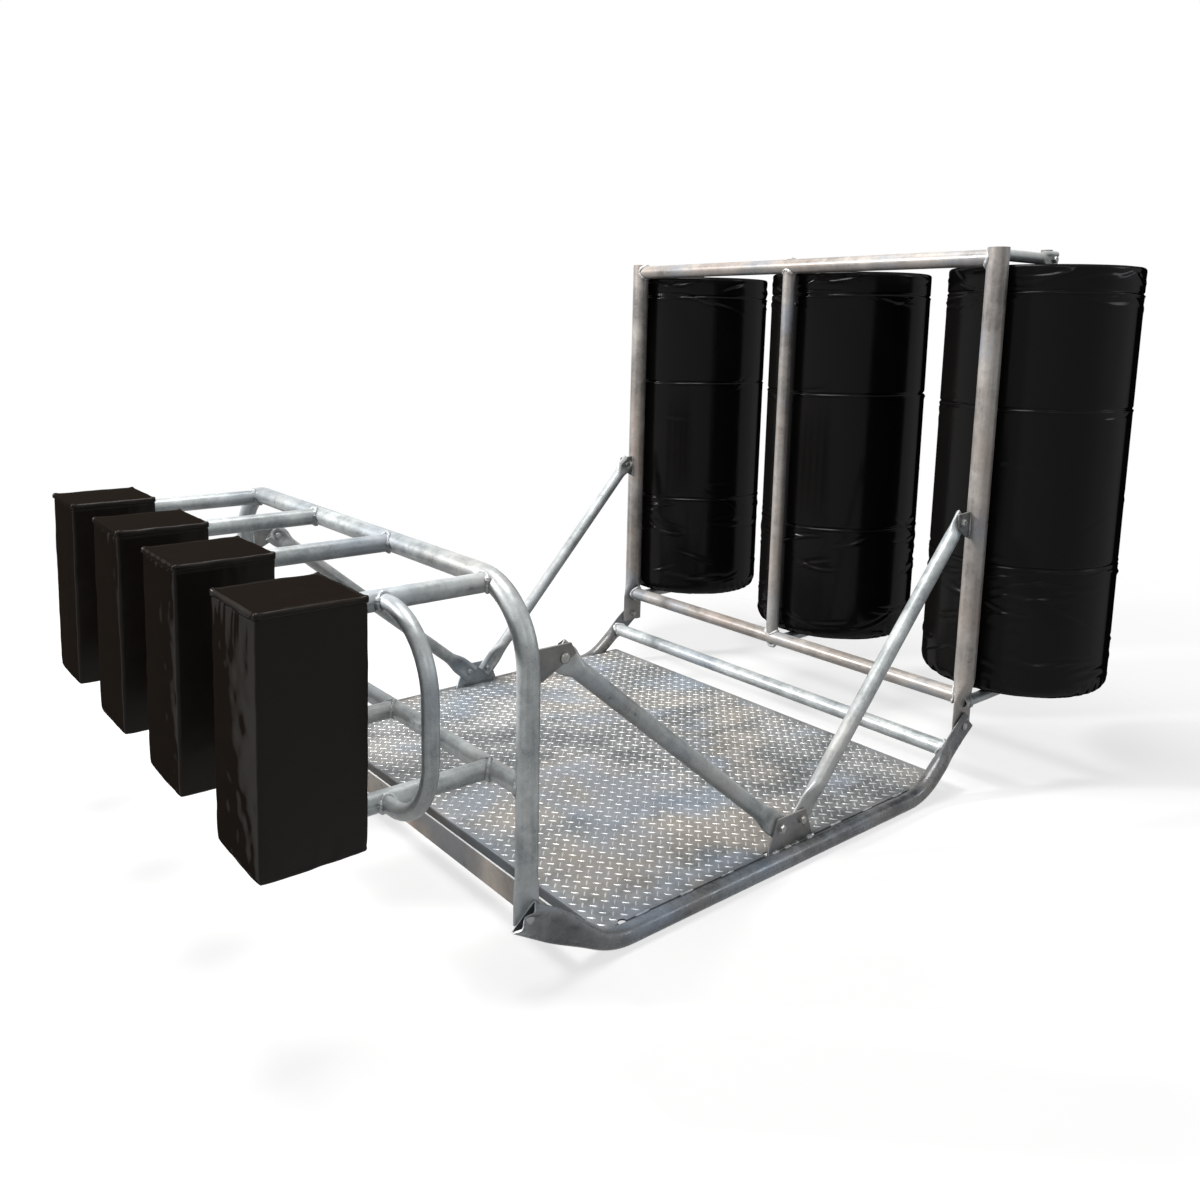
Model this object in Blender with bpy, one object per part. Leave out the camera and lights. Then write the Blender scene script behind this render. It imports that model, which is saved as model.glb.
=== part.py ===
"""Combined scrum and ruck training sled for rugby, in metres, +Z up.

+X is the sled's right side, the scrum pads face -Y and the ruck bags hang at +Y.
The origin is the middle of the overall box, on the ground.
Run with: blender --background --python part.py
"""
import math

import bpy
import bmesh
from mathutils import Vector

# Steel tubes: outside diameters and walls
MAIN_TUBE_D = 0.0483
POST_TUBE_D = 0.0603
BRACE_TUBE_D = 0.0424
LIGHT_TUBE_D = 0.0337
TUBE_WALL = 0.0032
PINCH_GAP = 0.0015          # slot left open inside a flattened tube end
TUBE_SIDES = 12
ARC_STEPS = 4
BLEND_STEPS = 3
SEAT = 0.0003               # gap kept between pieces that touch

# Stance: where the frames stand
RAIL_SPACING = 1.516        # between the skid rail centre lines
FRAME_SPACING = 1.634       # from the scrum hoop's plane to the ruck frame's plane
PAD_REACH = 0.540           # from the scrum hoop's plane to the pads' front faces
BAG_D = 0.556
BAG_CLEARANCE = 0.004       # between the ruck posts and the bags

# Skid rails
FRONT_TURN_ANGLE = math.radians(32.0)
REAR_TURN_ANGLE = math.radians(38.0)
RAIL_TURN_RADIUS = 0.20
FRONT_FOOT_Z = 0.165        # foot bolts of the scrum hoop
REAR_FOOT_Z = 0.187         # foot bolts of the ruck posts
FOOT_EDGE = 0.026           # from a foot bolt to the tube's end
FOOT_FLAT = 0.092           # flattened length of a rail's or post's end
FOOT_BLEND = 0.090
RAIL_NOSE_BLEND = 0.170     # a rail's front end narrows to a round tube more slowly

# Deck and cross members
PLATE_T = 0.0045
DECK_TOP_Z = 0.0485
DECK_FRONT_GAP = 0.211      # from the hoop's plane to the deck's front edge
DECK_LENGTH = 1.335
DECK_RIB_SIZE = (0.005, 0.034)
DECK_RIB_COUNT = 2
DECK_NOTCH_R = 0.012
DECK_NOTCH_INSET = 0.062    # from the deck's front corners to the drain notches
ANGLE_HEIGHT = 0.065
ANGLE_LEG = 0.040
ANGLE_T = 0.005
ANGLE_BOTTOM_Z = 0.056
ANGLE_FRONT_GAP = 0.1065    # from the hoop's plane to the angle's front face
ANGLE_END_INSET = 0.010     # from a rail's centre line to the angle's end beneath it
REAR_TUBE_INSET = 0.0739    # from the ruck frame's plane forward to the rear cross tube

# Scrum frame
HOOP_TOP_Z = 0.858
HOOP_CORNER_RADIUS = 0.170
MID_RAIL_Z = 0.443
PAD_PITCH_INNER = 0.400
PAD_PITCH_OUTER = 0.417
PAD_WIDTH = 0.208
PAD_DEPTH = 0.208
PAD_HEIGHT = 0.484
PAD_TOP_Z = 0.892
PAD_CROWN = 0.006
PAD_EDGE_RADIUS = 0.010
LOOP_REACH = 0.183          # from the outer arms sideways to the loop's bar
LOOP_CORNER_RADIUS = 0.150
LOOP_BACK = 0.078           # from the pads' back faces to the loops' plane

# Brackets and braces
BRACKET_T = 0.006
PLATE_INSET = 0.016         # from a rail's centre line to its gusset plate's middle
BOLT_D = 0.012
BOLT_HOLE_D = 0.0126
HOLE_SIDES = 8
BOLT_HEAD_D = 0.024
BOLT_HEAD_H = 0.007
NUT_CORNER_D = 0.0219
NUT_H = 0.010
WASHER_D = 0.024
WASHER_T = 0.0025
BRACE_EDGE = 0.020          # from a brace's bolt to its end
BRACE_FLAT = 0.062
BRACE_BLEND = 0.070
GUSSET_FRONT_BOLT = (0.8146, 0.1038)    # from the hoop's plane, and height
GUSSET_BOLT_SPACING = 0.081
GUSSET_BASE_LENGTH = 0.175
GUSSET_TOP_LENGTH = 0.112
GUSSET_TOP_Z = 0.131
HOOP_BRACKET_BOLT = (0.0959, 0.701)     # from the hoop's plane, and height
HOOP_BRACKET_NOSE = 0.030
RUCK_BRACKET_BOLT = (0.0680, 0.8220)    # from the ruck frame's plane, and height
RUCK_BRACKET_NOSE = 0.022

# Ruck frame
RUCK_POST_TOP_Z = 1.609
RUCK_TOP_RAIL_Z = 1.580
RUCK_BOTTOM_RAIL_Z = 0.276
ARM_EDGE = 0.022            # from a bag pole's axis to its arms' ends
ARM_FLAT = 0.052
ARM_BLEND = 0.060
POLE_EDGE = 0.030           # from an arm's centre line to the pole's end
COLLAR_D = 0.120
COLLAR_T = 0.004
BAG_BORE_CLEARANCE = 0.0005
BAG_TOP_DROP = 0.017         # from the top rail's centre line down to the bags' tops
BAG_TOP_GAP = 0.001          # running gap under the top arms
BAG_BOTTOM_Z = 0.289
BAG_HEIGHT = RUCK_TOP_RAIL_Z - BAG_TOP_DROP - BAG_BOTTOM_Z
BAG_TOP_ROUND = 0.016
BAG_BOTTOM_ROUND = 0.042
BAG_TAPER = 0.004
BAG_SEAM_DEPTH = 0.004
BAG_SEAM_WIDTH = 0.012
BAG_SIDES = 24

# Places worked out from the sizes above, with the overall box centred on the origin
BAG_REACH = POST_TUBE_D / 2 + BAG_CLEARANCE + BAG_D / 2
HOOP_Y = PAD_REACH - (PAD_REACH + FRAME_SPACING + BAG_REACH + BAG_D / 2) / 2
RUCK_Y = HOOP_Y + FRAME_SPACING
BAG_Y = RUCK_Y + BAG_REACH
PAD_BACK_Y = HOOP_Y - PAD_REACH + PAD_DEPTH
LOOP_Y = PAD_BACK_Y + LOOP_BACK
RAIL_X = RAIL_SPACING / 2
RAIL_Z = MAIN_TUBE_D / 2 * math.cos(math.pi / TUBE_SIDES)
PINCH_T = TUBE_WALL + PINCH_GAP / 2     # half the thickness of a flattened end
POST_X = RAIL_X - 2 * PINCH_T - SEAT
PLATE_X = RAIL_X - PLATE_INSET
BRACE_X = PLATE_X - BRACKET_T / 2 - SEAT - PINCH_T
DECK_FRONT_Y = HOOP_Y + DECK_FRONT_GAP
REAR_TUBE_Y = RUCK_Y - REAR_TUBE_INSET
REAR_TUBE_Z = REAR_FOOT_Z - REAR_TUBE_INSET * math.tan(REAR_TURN_ANGLE)
GUSSET_Y = HOOP_Y + GUSSET_FRONT_BOLT[0] + GUSSET_BOLT_SPACING / 2
PAD_XS = (-PAD_PITCH_INNER / 2 - PAD_PITCH_OUTER, -PAD_PITCH_INNER / 2,
          PAD_PITCH_INNER / 2, PAD_PITCH_INNER / 2 + PAD_PITCH_OUTER)
POLE_SIDE = LIGHT_TUBE_D / 2 + SEAT + PINCH_T


def pinched_half_width(diameter):
    return math.pi * (diameter - TUBE_WALL) / 4 + TUBE_WALL / 2


BAG_ARM_BOTTOM_Z = BAG_BOTTOM_Z - COLLAR_T - 2 * SEAT - pinched_half_width(LIGHT_TUBE_D)
BAG_ARM_TOP_Z = BAG_BOTTOM_Z + BAG_HEIGHT + BAG_TOP_GAP + pinched_half_width(LIGHT_TUBE_D)
X_AXIS = Vector((1, 0, 0))
Y_AXIS = Vector((0, 1, 0))


def smooth_step(value):
    value = min(max(value, 0.0), 1.0)
    return value * value * (3 - 2 * value)


def material(name, colour, roughness, metallic):
    made = bpy.data.materials.new(name)
    made.use_nodes = True
    shader = made.node_tree.nodes["Principled BSDF"]
    shader.inputs["Base Color"].default_value = (*colour, 1)
    shader.inputs["Roughness"].default_value = roughness
    shader.inputs["Metallic"].default_value = metallic
    made.diffuse_color = (*colour, 1)
    return made


def mesh_object(name, verts, faces, surface):
    mesh = bpy.data.meshes.new(name)
    mesh.from_pydata([tuple(v) for v in verts], [], faces)
    build = bmesh.new()
    build.from_mesh(mesh)
    bmesh.ops.remove_doubles(build, verts=build.verts, dist=1e-7)
    bmesh.ops.recalc_face_normals(build, faces=build.faces)
    build.to_mesh(mesh)
    build.free()
    made = bpy.data.objects.new(name, mesh)
    bpy.context.scene.collection.objects.link(made)
    if surface:
        mesh.materials.append(surface)
    return made


def combine(target, tools, operation="DIFFERENCE"):
    """Cut each tool from the target, or join it on, and delete the tools."""
    for tool in tools:
        step = target.modifiers.new("cut", "BOOLEAN")
        step.operation = operation
        step.object = tool
    graph = bpy.context.evaluated_depsgraph_get()
    graph.update()
    result = bpy.data.meshes.new_from_object(target.evaluated_get(graph))
    target.modifiers.clear()
    target.data = result
    result.name = target.name
    for tool in tools:
        bpy.data.objects.remove(tool)
    return target


def rounded_path(corners, radius):
    """Points and tangents along a line whose inner corners are arcs."""
    corners = [Vector(c) for c in corners]
    path = []
    first = (corners[1] - corners[0]).normalized()
    path.append((corners[0], first))
    for before, corner, after in zip(corners, corners[1:], corners[2:]):
        into = (corner - before).normalized()
        out = (after - corner).normalized()
        turn = into.angle(out)
        reach = radius * math.tan(turn / 2)
        start = corner - into * reach
        inward = (out - into * into.dot(out)).normalized()
        centre = start + inward * radius
        for step in range(ARC_STEPS + 1):
            angle = turn * step / ARC_STEPS
            point = centre - inward * radius * math.cos(angle) + into * radius * math.sin(angle)
            path.append((point, into * math.cos(angle) + inward * math.sin(angle)))
    path.append((corners[-1], (corners[-1] - corners[-2]).normalized()))
    return path


def stations(path, flat_start, flat_end):
    """Points, tangents and flatness along the path, with extra points where it flattens."""
    lengths = [0.0]
    for (a, _), (b, _) in zip(path, path[1:]):
        lengths.append(lengths[-1] + (b - a).length)
    total = lengths[-1]
    marks = set(lengths)
    for flat, mirrored in ((flat_start, False), (flat_end, True)):
        if flat:
            for step in range(BLEND_STEPS + 1):
                mark = flat[0] + flat[1] * step / BLEND_STEPS
                marks.add(total - mark if mirrored else mark)
    found = []
    for mark in sorted(marks):
        index = max(i for i, length in enumerate(lengths[:-1]) if length <= mark + 1e-9)
        (a, tangent_a), (b, tangent_b) = path[index], path[index + 1]
        share = (mark - lengths[index]) / (lengths[index + 1] - lengths[index])
        tangent = tangent_a.lerp(tangent_b, share).normalized()
        flatness = 0.0
        if flat_start:
            flatness = max(flatness, smooth_step(1 - (mark - flat_start[0]) / flat_start[1]))
        if flat_end:
            flatness = max(flatness, smooth_step(1 - (total - mark - flat_end[0]) / flat_end[1]))
        found.append((a.lerp(b, share), tangent, flatness))
    return found


def section(centre, tangent, thin, radius, flatness, half_thick, half_wide):
    """One ring: round, flattened across the thin direction, or between the two."""
    wide = tangent.cross(thin).normalized()
    half_step = math.pi / TUBE_SIDES
    ring = []
    for k in range(TUBE_SIDES):
        angle = (2 * k + 1) * half_step
        across, along = math.cos(angle), math.sin(angle)
        folded = math.asin(along)
        flat_along = half_wide * folded / (math.pi / 2 - half_step)
        flat_across = math.copysign(half_thick, across)
        u = (1 - flatness) * radius * across + flatness * flat_across
        v = (1 - flatness) * radius * along + flatness * flat_along
        ring.append(centre + thin * u + wide * v)
    return ring


def tube(name, path, diameter, surface, normal, flat_start=None, flat_end=None,
         flatten_in_plane=False, grow=0.0, hollow=True):
    """A swept tube with open ends, or with grow the solid that cuts room for it."""
    radius = diameter / 2
    half_wide = pinched_half_width(diameter)
    skins = [(radius + grow, PINCH_T + grow, half_wide + grow)]
    if hollow:
        skins.append((radius - TUBE_WALL, PINCH_GAP / 2, half_wide - TUBE_WALL))
    rings = stations(path, flat_start, flat_end)
    verts, faces = [], []
    count = len(rings)
    for r, half_thick, wide in skins:
        for centre, tangent, flatness in rings:
            thin = tangent.cross(normal).normalized() if flatten_in_plane else normal
            verts += section(centre, tangent, thin, r, flatness, half_thick, wide)
    for skin in range(len(skins)):
        base = skin * count * TUBE_SIDES
        for ring in range(count - 1):
            for k in range(TUBE_SIDES):
                a = base + ring * TUBE_SIDES + k
                b = base + ring * TUBE_SIDES + (k + 1) % TUBE_SIDES
                faces.append((a, b, b + TUBE_SIDES))
                faces.append((a, b + TUBE_SIDES, a + TUBE_SIDES))
    for end in (0, (count - 1) * TUBE_SIDES):
        outer = [end + k for k in range(TUBE_SIDES)]
        if not hollow:
            faces.append(tuple(outer))
            continue
        inner = [count * TUBE_SIDES + k for k in outer]
        for k in range(TUBE_SIDES):
            n = (k + 1) % TUBE_SIDES
            faces.append((outer[k], outer[n], inner[n], inner[k]))
    return mesh_object(name, verts, faces, surface)


def straight(start, end):
    direction = (Vector(end) - Vector(start)).normalized()
    return [(Vector(start), direction), (Vector(end), direction)]


def plate(name, outline, x, thickness, surface):
    """A flat plate in the YZ plane, from its outline of (y, z) points."""
    count = len(outline)
    verts = [(x + side * thickness / 2, y, z) for side in (-1, 1) for y, z in outline]
    faces = [tuple(range(count)), tuple(range(count, 2 * count))]
    for k in range(count):
        n = (k + 1) % count
        faces.append((k, n, n + count, k + count))
    return mesh_object(name, verts, faces, surface)


def block(name, low, high, surface=None):
    xs, ys, zs = zip(low, high)
    verts = [(x, y, z) for x in xs for y in ys for z in zs]
    faces = [(0, 1, 3, 2), (4, 5, 7, 6), (0, 1, 5, 4), (2, 3, 7, 6), (0, 2, 6, 4), (1, 3, 7, 5)]
    return mesh_object(name, verts, faces, surface)


def turned(name, profile, centre, axis, surface, sides):
    """A solid of rings about an axis, from (distance, radius, corners) steps."""
    axis = Vector(axis)
    across = Vector((0, 0, 1)) if abs(axis.z) < 0.5 else Vector((1, 0, 0))
    other = axis.cross(across)
    verts, faces = [], []
    for distance, radius, corners in profile:
        for k in range(sides):
            angle = 2 * math.pi * k / sides
            reach = radius
            if corners:
                sector = 2 * math.pi / corners
                reach = radius * math.cos(sector / 2) / math.cos(angle % sector - sector / 2)
            offset = across * math.cos(angle) + other * math.sin(angle)
            verts.append(Vector(centre) + axis * distance + offset * reach)
    for ring in range(len(profile) - 1):
        for k in range(sides):
            a, b = ring * sides + k, ring * sides + (k + 1) % sides
            faces.append((a, b, b + sides, a + sides))
    faces.append(tuple(range(sides)))
    faces.append(tuple(range((len(profile) - 1) * sides, len(profile) * sides)))
    return mesh_object(name, verts, faces, surface)


def bolt_hole(x, y, z):
    reach = BRACKET_T * 4
    radius = BOLT_HOLE_D / 2 / math.cos(math.pi / HOLE_SIDES)
    return turned("hole", [(-reach, radius, 0), (reach, radius, 0)],
                  (x, y, z), (1, 0, 0), None, HOLE_SIDES)


def bolt(name, side, y, z, outer_x, inner_x, surface):
    """A round-headed bolt along X with washer and nut, its head on the outboard face."""
    head = outer_x + SEAT
    nut = inner_x - SEAT
    shank, washer = BOLT_D / 2, WASHER_D / 2
    profile = [
        (head + BOLT_HEAD_H, BOLT_HEAD_D * 0.25, 0),
        (head + BOLT_HEAD_H * 0.5, BOLT_HEAD_D * 0.45, 0),
        (head, BOLT_HEAD_D / 2, 0),
        (head, shank, 0),
        (nut, shank, 0),
        (nut, washer, 0),
        (nut - WASHER_T, washer, 0),
        (nut - WASHER_T, NUT_CORNER_D / 2, 6),
        (nut - WASHER_T - NUT_H, NUT_CORNER_D / 2, 6),
    ]
    return turned(name, profile, (0, y, z), (side, 0, 0), surface, 12)


def side_name(side):
    return "right" if side > 0 else "left"


# Paths that both a tube and the cuts for it follow

def rail_path(side):
    front_slope = FRONT_FOOT_Z - RAIL_Z
    front_corner = HOOP_Y + front_slope / math.tan(FRONT_TURN_ANGLE)
    rear_corner = RUCK_Y - (REAR_FOOT_Z - RAIL_Z) / math.tan(REAR_TURN_ANGLE)
    front = (HOOP_Y - FOOT_EDGE * math.cos(FRONT_TURN_ANGLE),
             FRONT_FOOT_Z + FOOT_EDGE * math.sin(FRONT_TURN_ANGLE))
    rear = (RUCK_Y + FOOT_EDGE * math.cos(REAR_TURN_ANGLE),
            REAR_FOOT_Z + FOOT_EDGE * math.sin(REAR_TURN_ANGLE))
    x = side * RAIL_X
    corners = [(x, *front), (x, front_corner, RAIL_Z), (x, rear_corner, RAIL_Z), (x, *rear)]
    return rounded_path(corners, RAIL_TURN_RADIUS)


def rail_tube(side, name, surface, grow=0.0):
    front, rear = (FOOT_FLAT, RAIL_NOSE_BLEND), (FOOT_FLAT, FOOT_BLEND)
    return tube(name, rail_path(side), MAIN_TUBE_D, surface, X_AXIS, front, rear,
                grow=grow, hollow=not grow)


def hoop_tube(name, surface, grow=0.0):
    foot = FRONT_FOOT_Z - FOOT_EDGE
    corners = [(-POST_X, HOOP_Y, foot), (-POST_X, HOOP_Y, HOOP_TOP_Z),
               (POST_X, HOOP_Y, HOOP_TOP_Z), (POST_X, HOOP_Y, foot)]
    flat = (FOOT_FLAT, FOOT_BLEND)
    return tube(name, rounded_path(corners, HOOP_CORNER_RADIUS), MAIN_TUBE_D, surface, Y_AXIS,
                flat, flat, flatten_in_plane=True, grow=grow, hollow=not grow)


def mid_rail_tube(name, surface, grow=0.0):
    path = straight((-POST_X, HOOP_Y, MID_RAIL_Z), (POST_X, HOOP_Y, MID_RAIL_Z))
    return tube(name, path, BRACE_TUBE_D, surface, Y_AXIS, grow=grow, hollow=not grow)


def upper_arm_z(x):
    """Height of an upper arm: on the hoop's axis, which falls away in its corners."""
    past = abs(x) - (POST_X - HOOP_CORNER_RADIUS)
    if past <= 0:
        return HOOP_TOP_Z
    drop = HOOP_CORNER_RADIUS - math.sqrt(HOOP_CORNER_RADIUS ** 2 - past ** 2)
    return HOOP_TOP_Z - drop - past * 0.1


def scrum_arm_tube(name, x, z, surface, grow=0.0):
    path = straight((x, PAD_BACK_Y + SEAT, z), (x, HOOP_Y, z))
    return tube(name, path, BRACE_TUBE_D, surface, X_AXIS, grow=grow, hollow=not grow)


def ruck_post_tube(side, name, surface, grow=0.0):
    x = side * POST_X
    path = straight((x, RUCK_Y, REAR_FOOT_Z - FOOT_EDGE), (x, RUCK_Y, RUCK_POST_TOP_Z))
    return tube(name, path, POST_TUBE_D, surface, X_AXIS, (FOOT_FLAT, FOOT_BLEND),
                grow=grow, hollow=not grow)


def ruck_rail_tube(name, z, surface, grow=0.0):
    path = straight((-POST_X, RUCK_Y, z), (POST_X, RUCK_Y, z))
    return tube(name, path, MAIN_TUBE_D, surface, Y_AXIS, grow=grow, hollow=not grow)


def mid_post_tube(name, surface, grow=0.0):
    path = straight((0, RUCK_Y, RUCK_BOTTOM_RAIL_Z), (0, RUCK_Y, RUCK_TOP_RAIL_Z))
    return tube(name, path, BRACE_TUBE_D, surface, X_AXIS, grow=grow, hollow=not grow)


# Sub-parts

def build_base(steel, tread):
    for side in (-1, 1):
        rail = rail_tube(side, "skid_rail_" + side_name(side), steel)
        combine(rail, [bolt_hole(side * RAIL_X, HOOP_Y, FRONT_FOOT_Z),
                       bolt_hole(side * RAIL_X, RUCK_Y, REAR_FOOT_Z)])
        build_gusset(side, steel)
    build_front_angle(steel)
    path = straight((-RAIL_X, REAR_TUBE_Y, REAR_TUBE_Z), (RAIL_X, REAR_TUBE_Y, REAR_TUBE_Z))
    cross = tube("rear_cross_tube", path, MAIN_TUBE_D, steel, Y_AXIS)
    combine(cross, [rail_tube(side, "room", None, SEAT) for side in (-1, 1)])
    build_deck(tread)


def build_gusset(side, steel):
    """The trapezoid plate on a rail's top that the two braces bolt to."""
    half_base, half_top = GUSSET_BASE_LENGTH / 2, GUSSET_TOP_LENGTH / 2
    outline = [(GUSSET_Y - half_base, RAIL_Z), (GUSSET_Y + half_base, RAIL_Z),
               (GUSSET_Y + half_base, RAIL_Z + MAIN_TUBE_D / 2),
               (GUSSET_Y + half_top, GUSSET_TOP_Z), (GUSSET_Y - half_top, GUSSET_TOP_Z),
               (GUSSET_Y - half_base, RAIL_Z + MAIN_TUBE_D / 2)]
    gusset = plate("base_gusset_" + side_name(side), outline, side * PLATE_X, BRACKET_T, steel)
    holes = [bolt_hole(side * PLATE_X, y, z) for y, z in gusset_bolts()]
    combine(gusset, [rail_tube(side, "room", None, SEAT)] + holes)


def gusset_bolts():
    y, z = HOOP_Y + GUSSET_FRONT_BOLT[0], GUSSET_FRONT_BOLT[1]
    return [(y, z), (y + GUSSET_BOLT_SPACING, z)]


def build_front_angle(steel):
    """The folded angle between the rails' sloping noses, in front of the deck."""
    front = HOOP_Y + ANGLE_FRONT_GAP
    low = ANGLE_BOTTOM_Z
    profile = [(front, low), (front + ANGLE_LEG, low), (front + ANGLE_LEG, low + ANGLE_T),
               (front + ANGLE_T, low + ANGLE_T), (front + ANGLE_T, low + ANGLE_HEIGHT),
               (front, low + ANGLE_HEIGHT)]
    length = 2 * (RAIL_X - ANGLE_END_INSET)
    angle = plate("front_cross_angle", profile, 0, length, steel)
    combine(angle, [rail_tube(side, "room", None, SEAT) for side in (-1, 1)])


def build_deck(tread):
    """The tread plate between the rails, notched at the gussets, with a lip and ribs beneath."""
    under = DECK_TOP_Z - PLATE_T
    flank = math.sqrt((MAIN_TUBE_D / 2) ** 2 - (under - RAIL_Z) ** 2)
    half = RAIL_X - flank - SEAT
    rear = DECK_FRONT_Y + DECK_LENGTH
    deck = block("deck_plate", (-half, DECK_FRONT_Y, under), (half, rear, DECK_TOP_Z), tread)
    drop, thick = DECK_RIB_SIZE[1], DECK_RIB_SIZE[0]
    rib_half = RAIL_X - MAIN_TUBE_D
    ribs = []
    for index in range(DECK_RIB_COUNT + 1):
        y = DECK_FRONT_Y + DECK_LENGTH * index / (DECK_RIB_COUNT + 1) + thick / 2
        ribs.append(block("rib", (-rib_half, y - thick / 2, under - drop),
                          (rib_half, y + thick / 2, under + PLATE_T / 2)))
    combine(deck, ribs, "UNION")
    tools = [rail_tube(side, "room", None, SEAT) for side in (-1, 1)]
    for side in (-1, 1):
        x = side * (PLATE_X - BRACKET_T / 2 - 0.006)
        edge = side * RAIL_X
        half_notch = GUSSET_BASE_LENGTH / 2 + 0.010
        tools.append(block("notch", (min(x, edge), GUSSET_Y - half_notch, under - PLATE_T),
                           (max(x, edge), GUSSET_Y + half_notch, DECK_TOP_Z + PLATE_T)))
        centre = (side * half, DECK_FRONT_Y + DECK_NOTCH_INSET, DECK_TOP_Z)
        tools.append(turned("drain", [(-0.01, DECK_NOTCH_R, 0), (0.01, DECK_NOTCH_R, 0)],
                            centre, (0, 0, 1), None, 12))
    combine(deck, tools)


def build_scrum_frame(steel):
    hoop = hoop_tube("scrum_hoop", steel)
    combine(hoop, [bolt_hole(side * POST_X, HOOP_Y, FRONT_FOOT_Z) for side in (-1, 1)])
    mid = mid_rail_tube("scrum_mid_rail", steel)
    combine(mid, [hoop_tube("room", None, SEAT)])
    for number, x in enumerate(PAD_XS, 1):
        upper = scrum_arm_tube("scrum_arm_upper_%d" % number, x, upper_arm_z(x), steel)
        combine(upper, [hoop_tube("room", None, SEAT)])
        lower = scrum_arm_tube("scrum_arm_lower_%d" % number, x, MID_RAIL_Z, steel)
        combine(lower, [mid_rail_tube("room", None, SEAT)])
    for side in (-1, 1):
        build_side_loop(side, steel)
        build_hoop_bracket(side, steel)


def build_side_loop(side, steel):
    """The bent bar beside an outer pad that joins its upper and lower arms."""
    x = side * PAD_XS[-1]
    top = upper_arm_z(x)
    out = x + side * LOOP_REACH
    corners = [(x, LOOP_Y, top), (out, LOOP_Y, top), (out, LOOP_Y, MID_RAIL_Z),
               (x, LOOP_Y, MID_RAIL_Z)]
    loop = tube("side_loop_" + side_name(side), rounded_path(corners, LOOP_CORNER_RADIUS),
                LIGHT_TUBE_D, steel, Y_AXIS)
    combine(loop, [scrum_arm_tube("room", x, top, None, SEAT),
                   scrum_arm_tube("room", x, MID_RAIL_Z, None, SEAT)])


def build_hoop_bracket(side, steel):
    y, z = HOOP_Y + HOOP_BRACKET_BOLT[0], HOOP_BRACKET_BOLT[1]
    nose = HOOP_BRACKET_NOSE
    outline = [(HOOP_Y, z + nose), (y + nose * 0.55, z + nose), (y + nose, z + nose * 0.15),
               (HOOP_Y + MAIN_TUBE_D * 0.8, z - nose * 1.35), (HOOP_Y, z - nose * 1.35)]
    bracket = plate("hoop_bracket_" + side_name(side), outline, side * PLATE_X, BRACKET_T, steel)
    combine(bracket, [hoop_tube("room", None, SEAT), bolt_hole(side * PLATE_X, y, z)])


def build_braces(steel):
    front_low, rear_low = gusset_bolts()
    front_high = (HOOP_Y + HOOP_BRACKET_BOLT[0], HOOP_BRACKET_BOLT[1])
    rear_high = (RUCK_Y - RUCK_BRACKET_BOLT[0], RUCK_BRACKET_BOLT[1])
    flat = (BRACE_FLAT, BRACE_BLEND)
    for side in (-1, 1):
        x = side * BRACE_X
        for word, low, high in (("front", front_low, front_high), ("rear", rear_low, rear_high)):
            start, end = Vector((x, *low)), Vector((x, *high))
            past = (end - start).normalized() * BRACE_EDGE
            brace = tube("%s_brace_%s" % (word, side_name(side)), straight(start - past, end + past),
                         BRACE_TUBE_D, steel, X_AXIS, flat, flat)
            combine(brace, [bolt_hole(*start), bolt_hole(*end)])


def build_ruck_frame(steel):
    for side in (-1, 1):
        post = ruck_post_tube(side, "ruck_post_" + side_name(side), steel)
        combine(post, [bolt_hole(side * POST_X, RUCK_Y, REAR_FOOT_Z)])
        build_ruck_bracket(side, steel)
    for word, z in (("top", RUCK_TOP_RAIL_Z), ("bottom", RUCK_BOTTOM_RAIL_Z)):
        rail = ruck_rail_tube("ruck_%s_rail" % word, z, steel)
        combine(rail, [ruck_post_tube(side, "room", None, SEAT) for side in (-1, 1)])
    mid = mid_post_tube("ruck_mid_post", steel)
    combine(mid, [ruck_rail_tube("room", z, None, SEAT)
                  for z in (RUCK_TOP_RAIL_Z, RUCK_BOTTOM_RAIL_Z)])


def build_ruck_bracket(side, steel):
    y, z = RUCK_Y - RUCK_BRACKET_BOLT[0], RUCK_BRACKET_BOLT[1]
    nose = RUCK_BRACKET_NOSE
    outline = [(RUCK_Y, z + nose * 1.36), (y - nose, z + nose * 1.2), (y - nose, z - nose * 0.8),
               (RUCK_Y - POST_TUBE_D * 0.6, z - nose * 2.2), (RUCK_Y, z - nose * 2.2)]
    bracket = plate("ruck_bracket_" + side_name(side), outline, side * PLATE_X, BRACKET_T, steel)
    combine(bracket, [ruck_post_tube(side, "room", None, SEAT), bolt_hole(side * PLATE_X, y, z)])


def bag_stations():
    """Number, arm position across the sled, and the side its pole stands on."""
    return [(1, -POST_X, 1), (2, 0.0, 1), (3, POST_X, -1)]


def build_bag_mounts(steel):
    flat = (ARM_FLAT, ARM_BLEND)
    for number, x, toward in bag_stations():
        for word, z in (("top", BAG_ARM_TOP_Z), ("bottom", BAG_ARM_BOTTOM_Z)):
            path = straight((x, RUCK_Y, z), (x, BAG_Y + ARM_EDGE, z))
            arm = tube("bag_arm_%s_%d" % (word, number), path, LIGHT_TUBE_D, steel, X_AXIS,
                       flat_end=flat)
            room = ruck_rail_tube("room", RUCK_TOP_RAIL_Z if word == "top" else RUCK_BOTTOM_RAIL_Z,
                                  None, SEAT)
            if x:
                rooms = [room, ruck_post_tube(int(math.copysign(1, x)), "room", None, SEAT)]
            else:
                rooms = [room, mid_post_tube("room", None, SEAT)]
            combine(arm, rooms)
        build_pole(number, x + toward * POLE_SIDE, steel)


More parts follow.
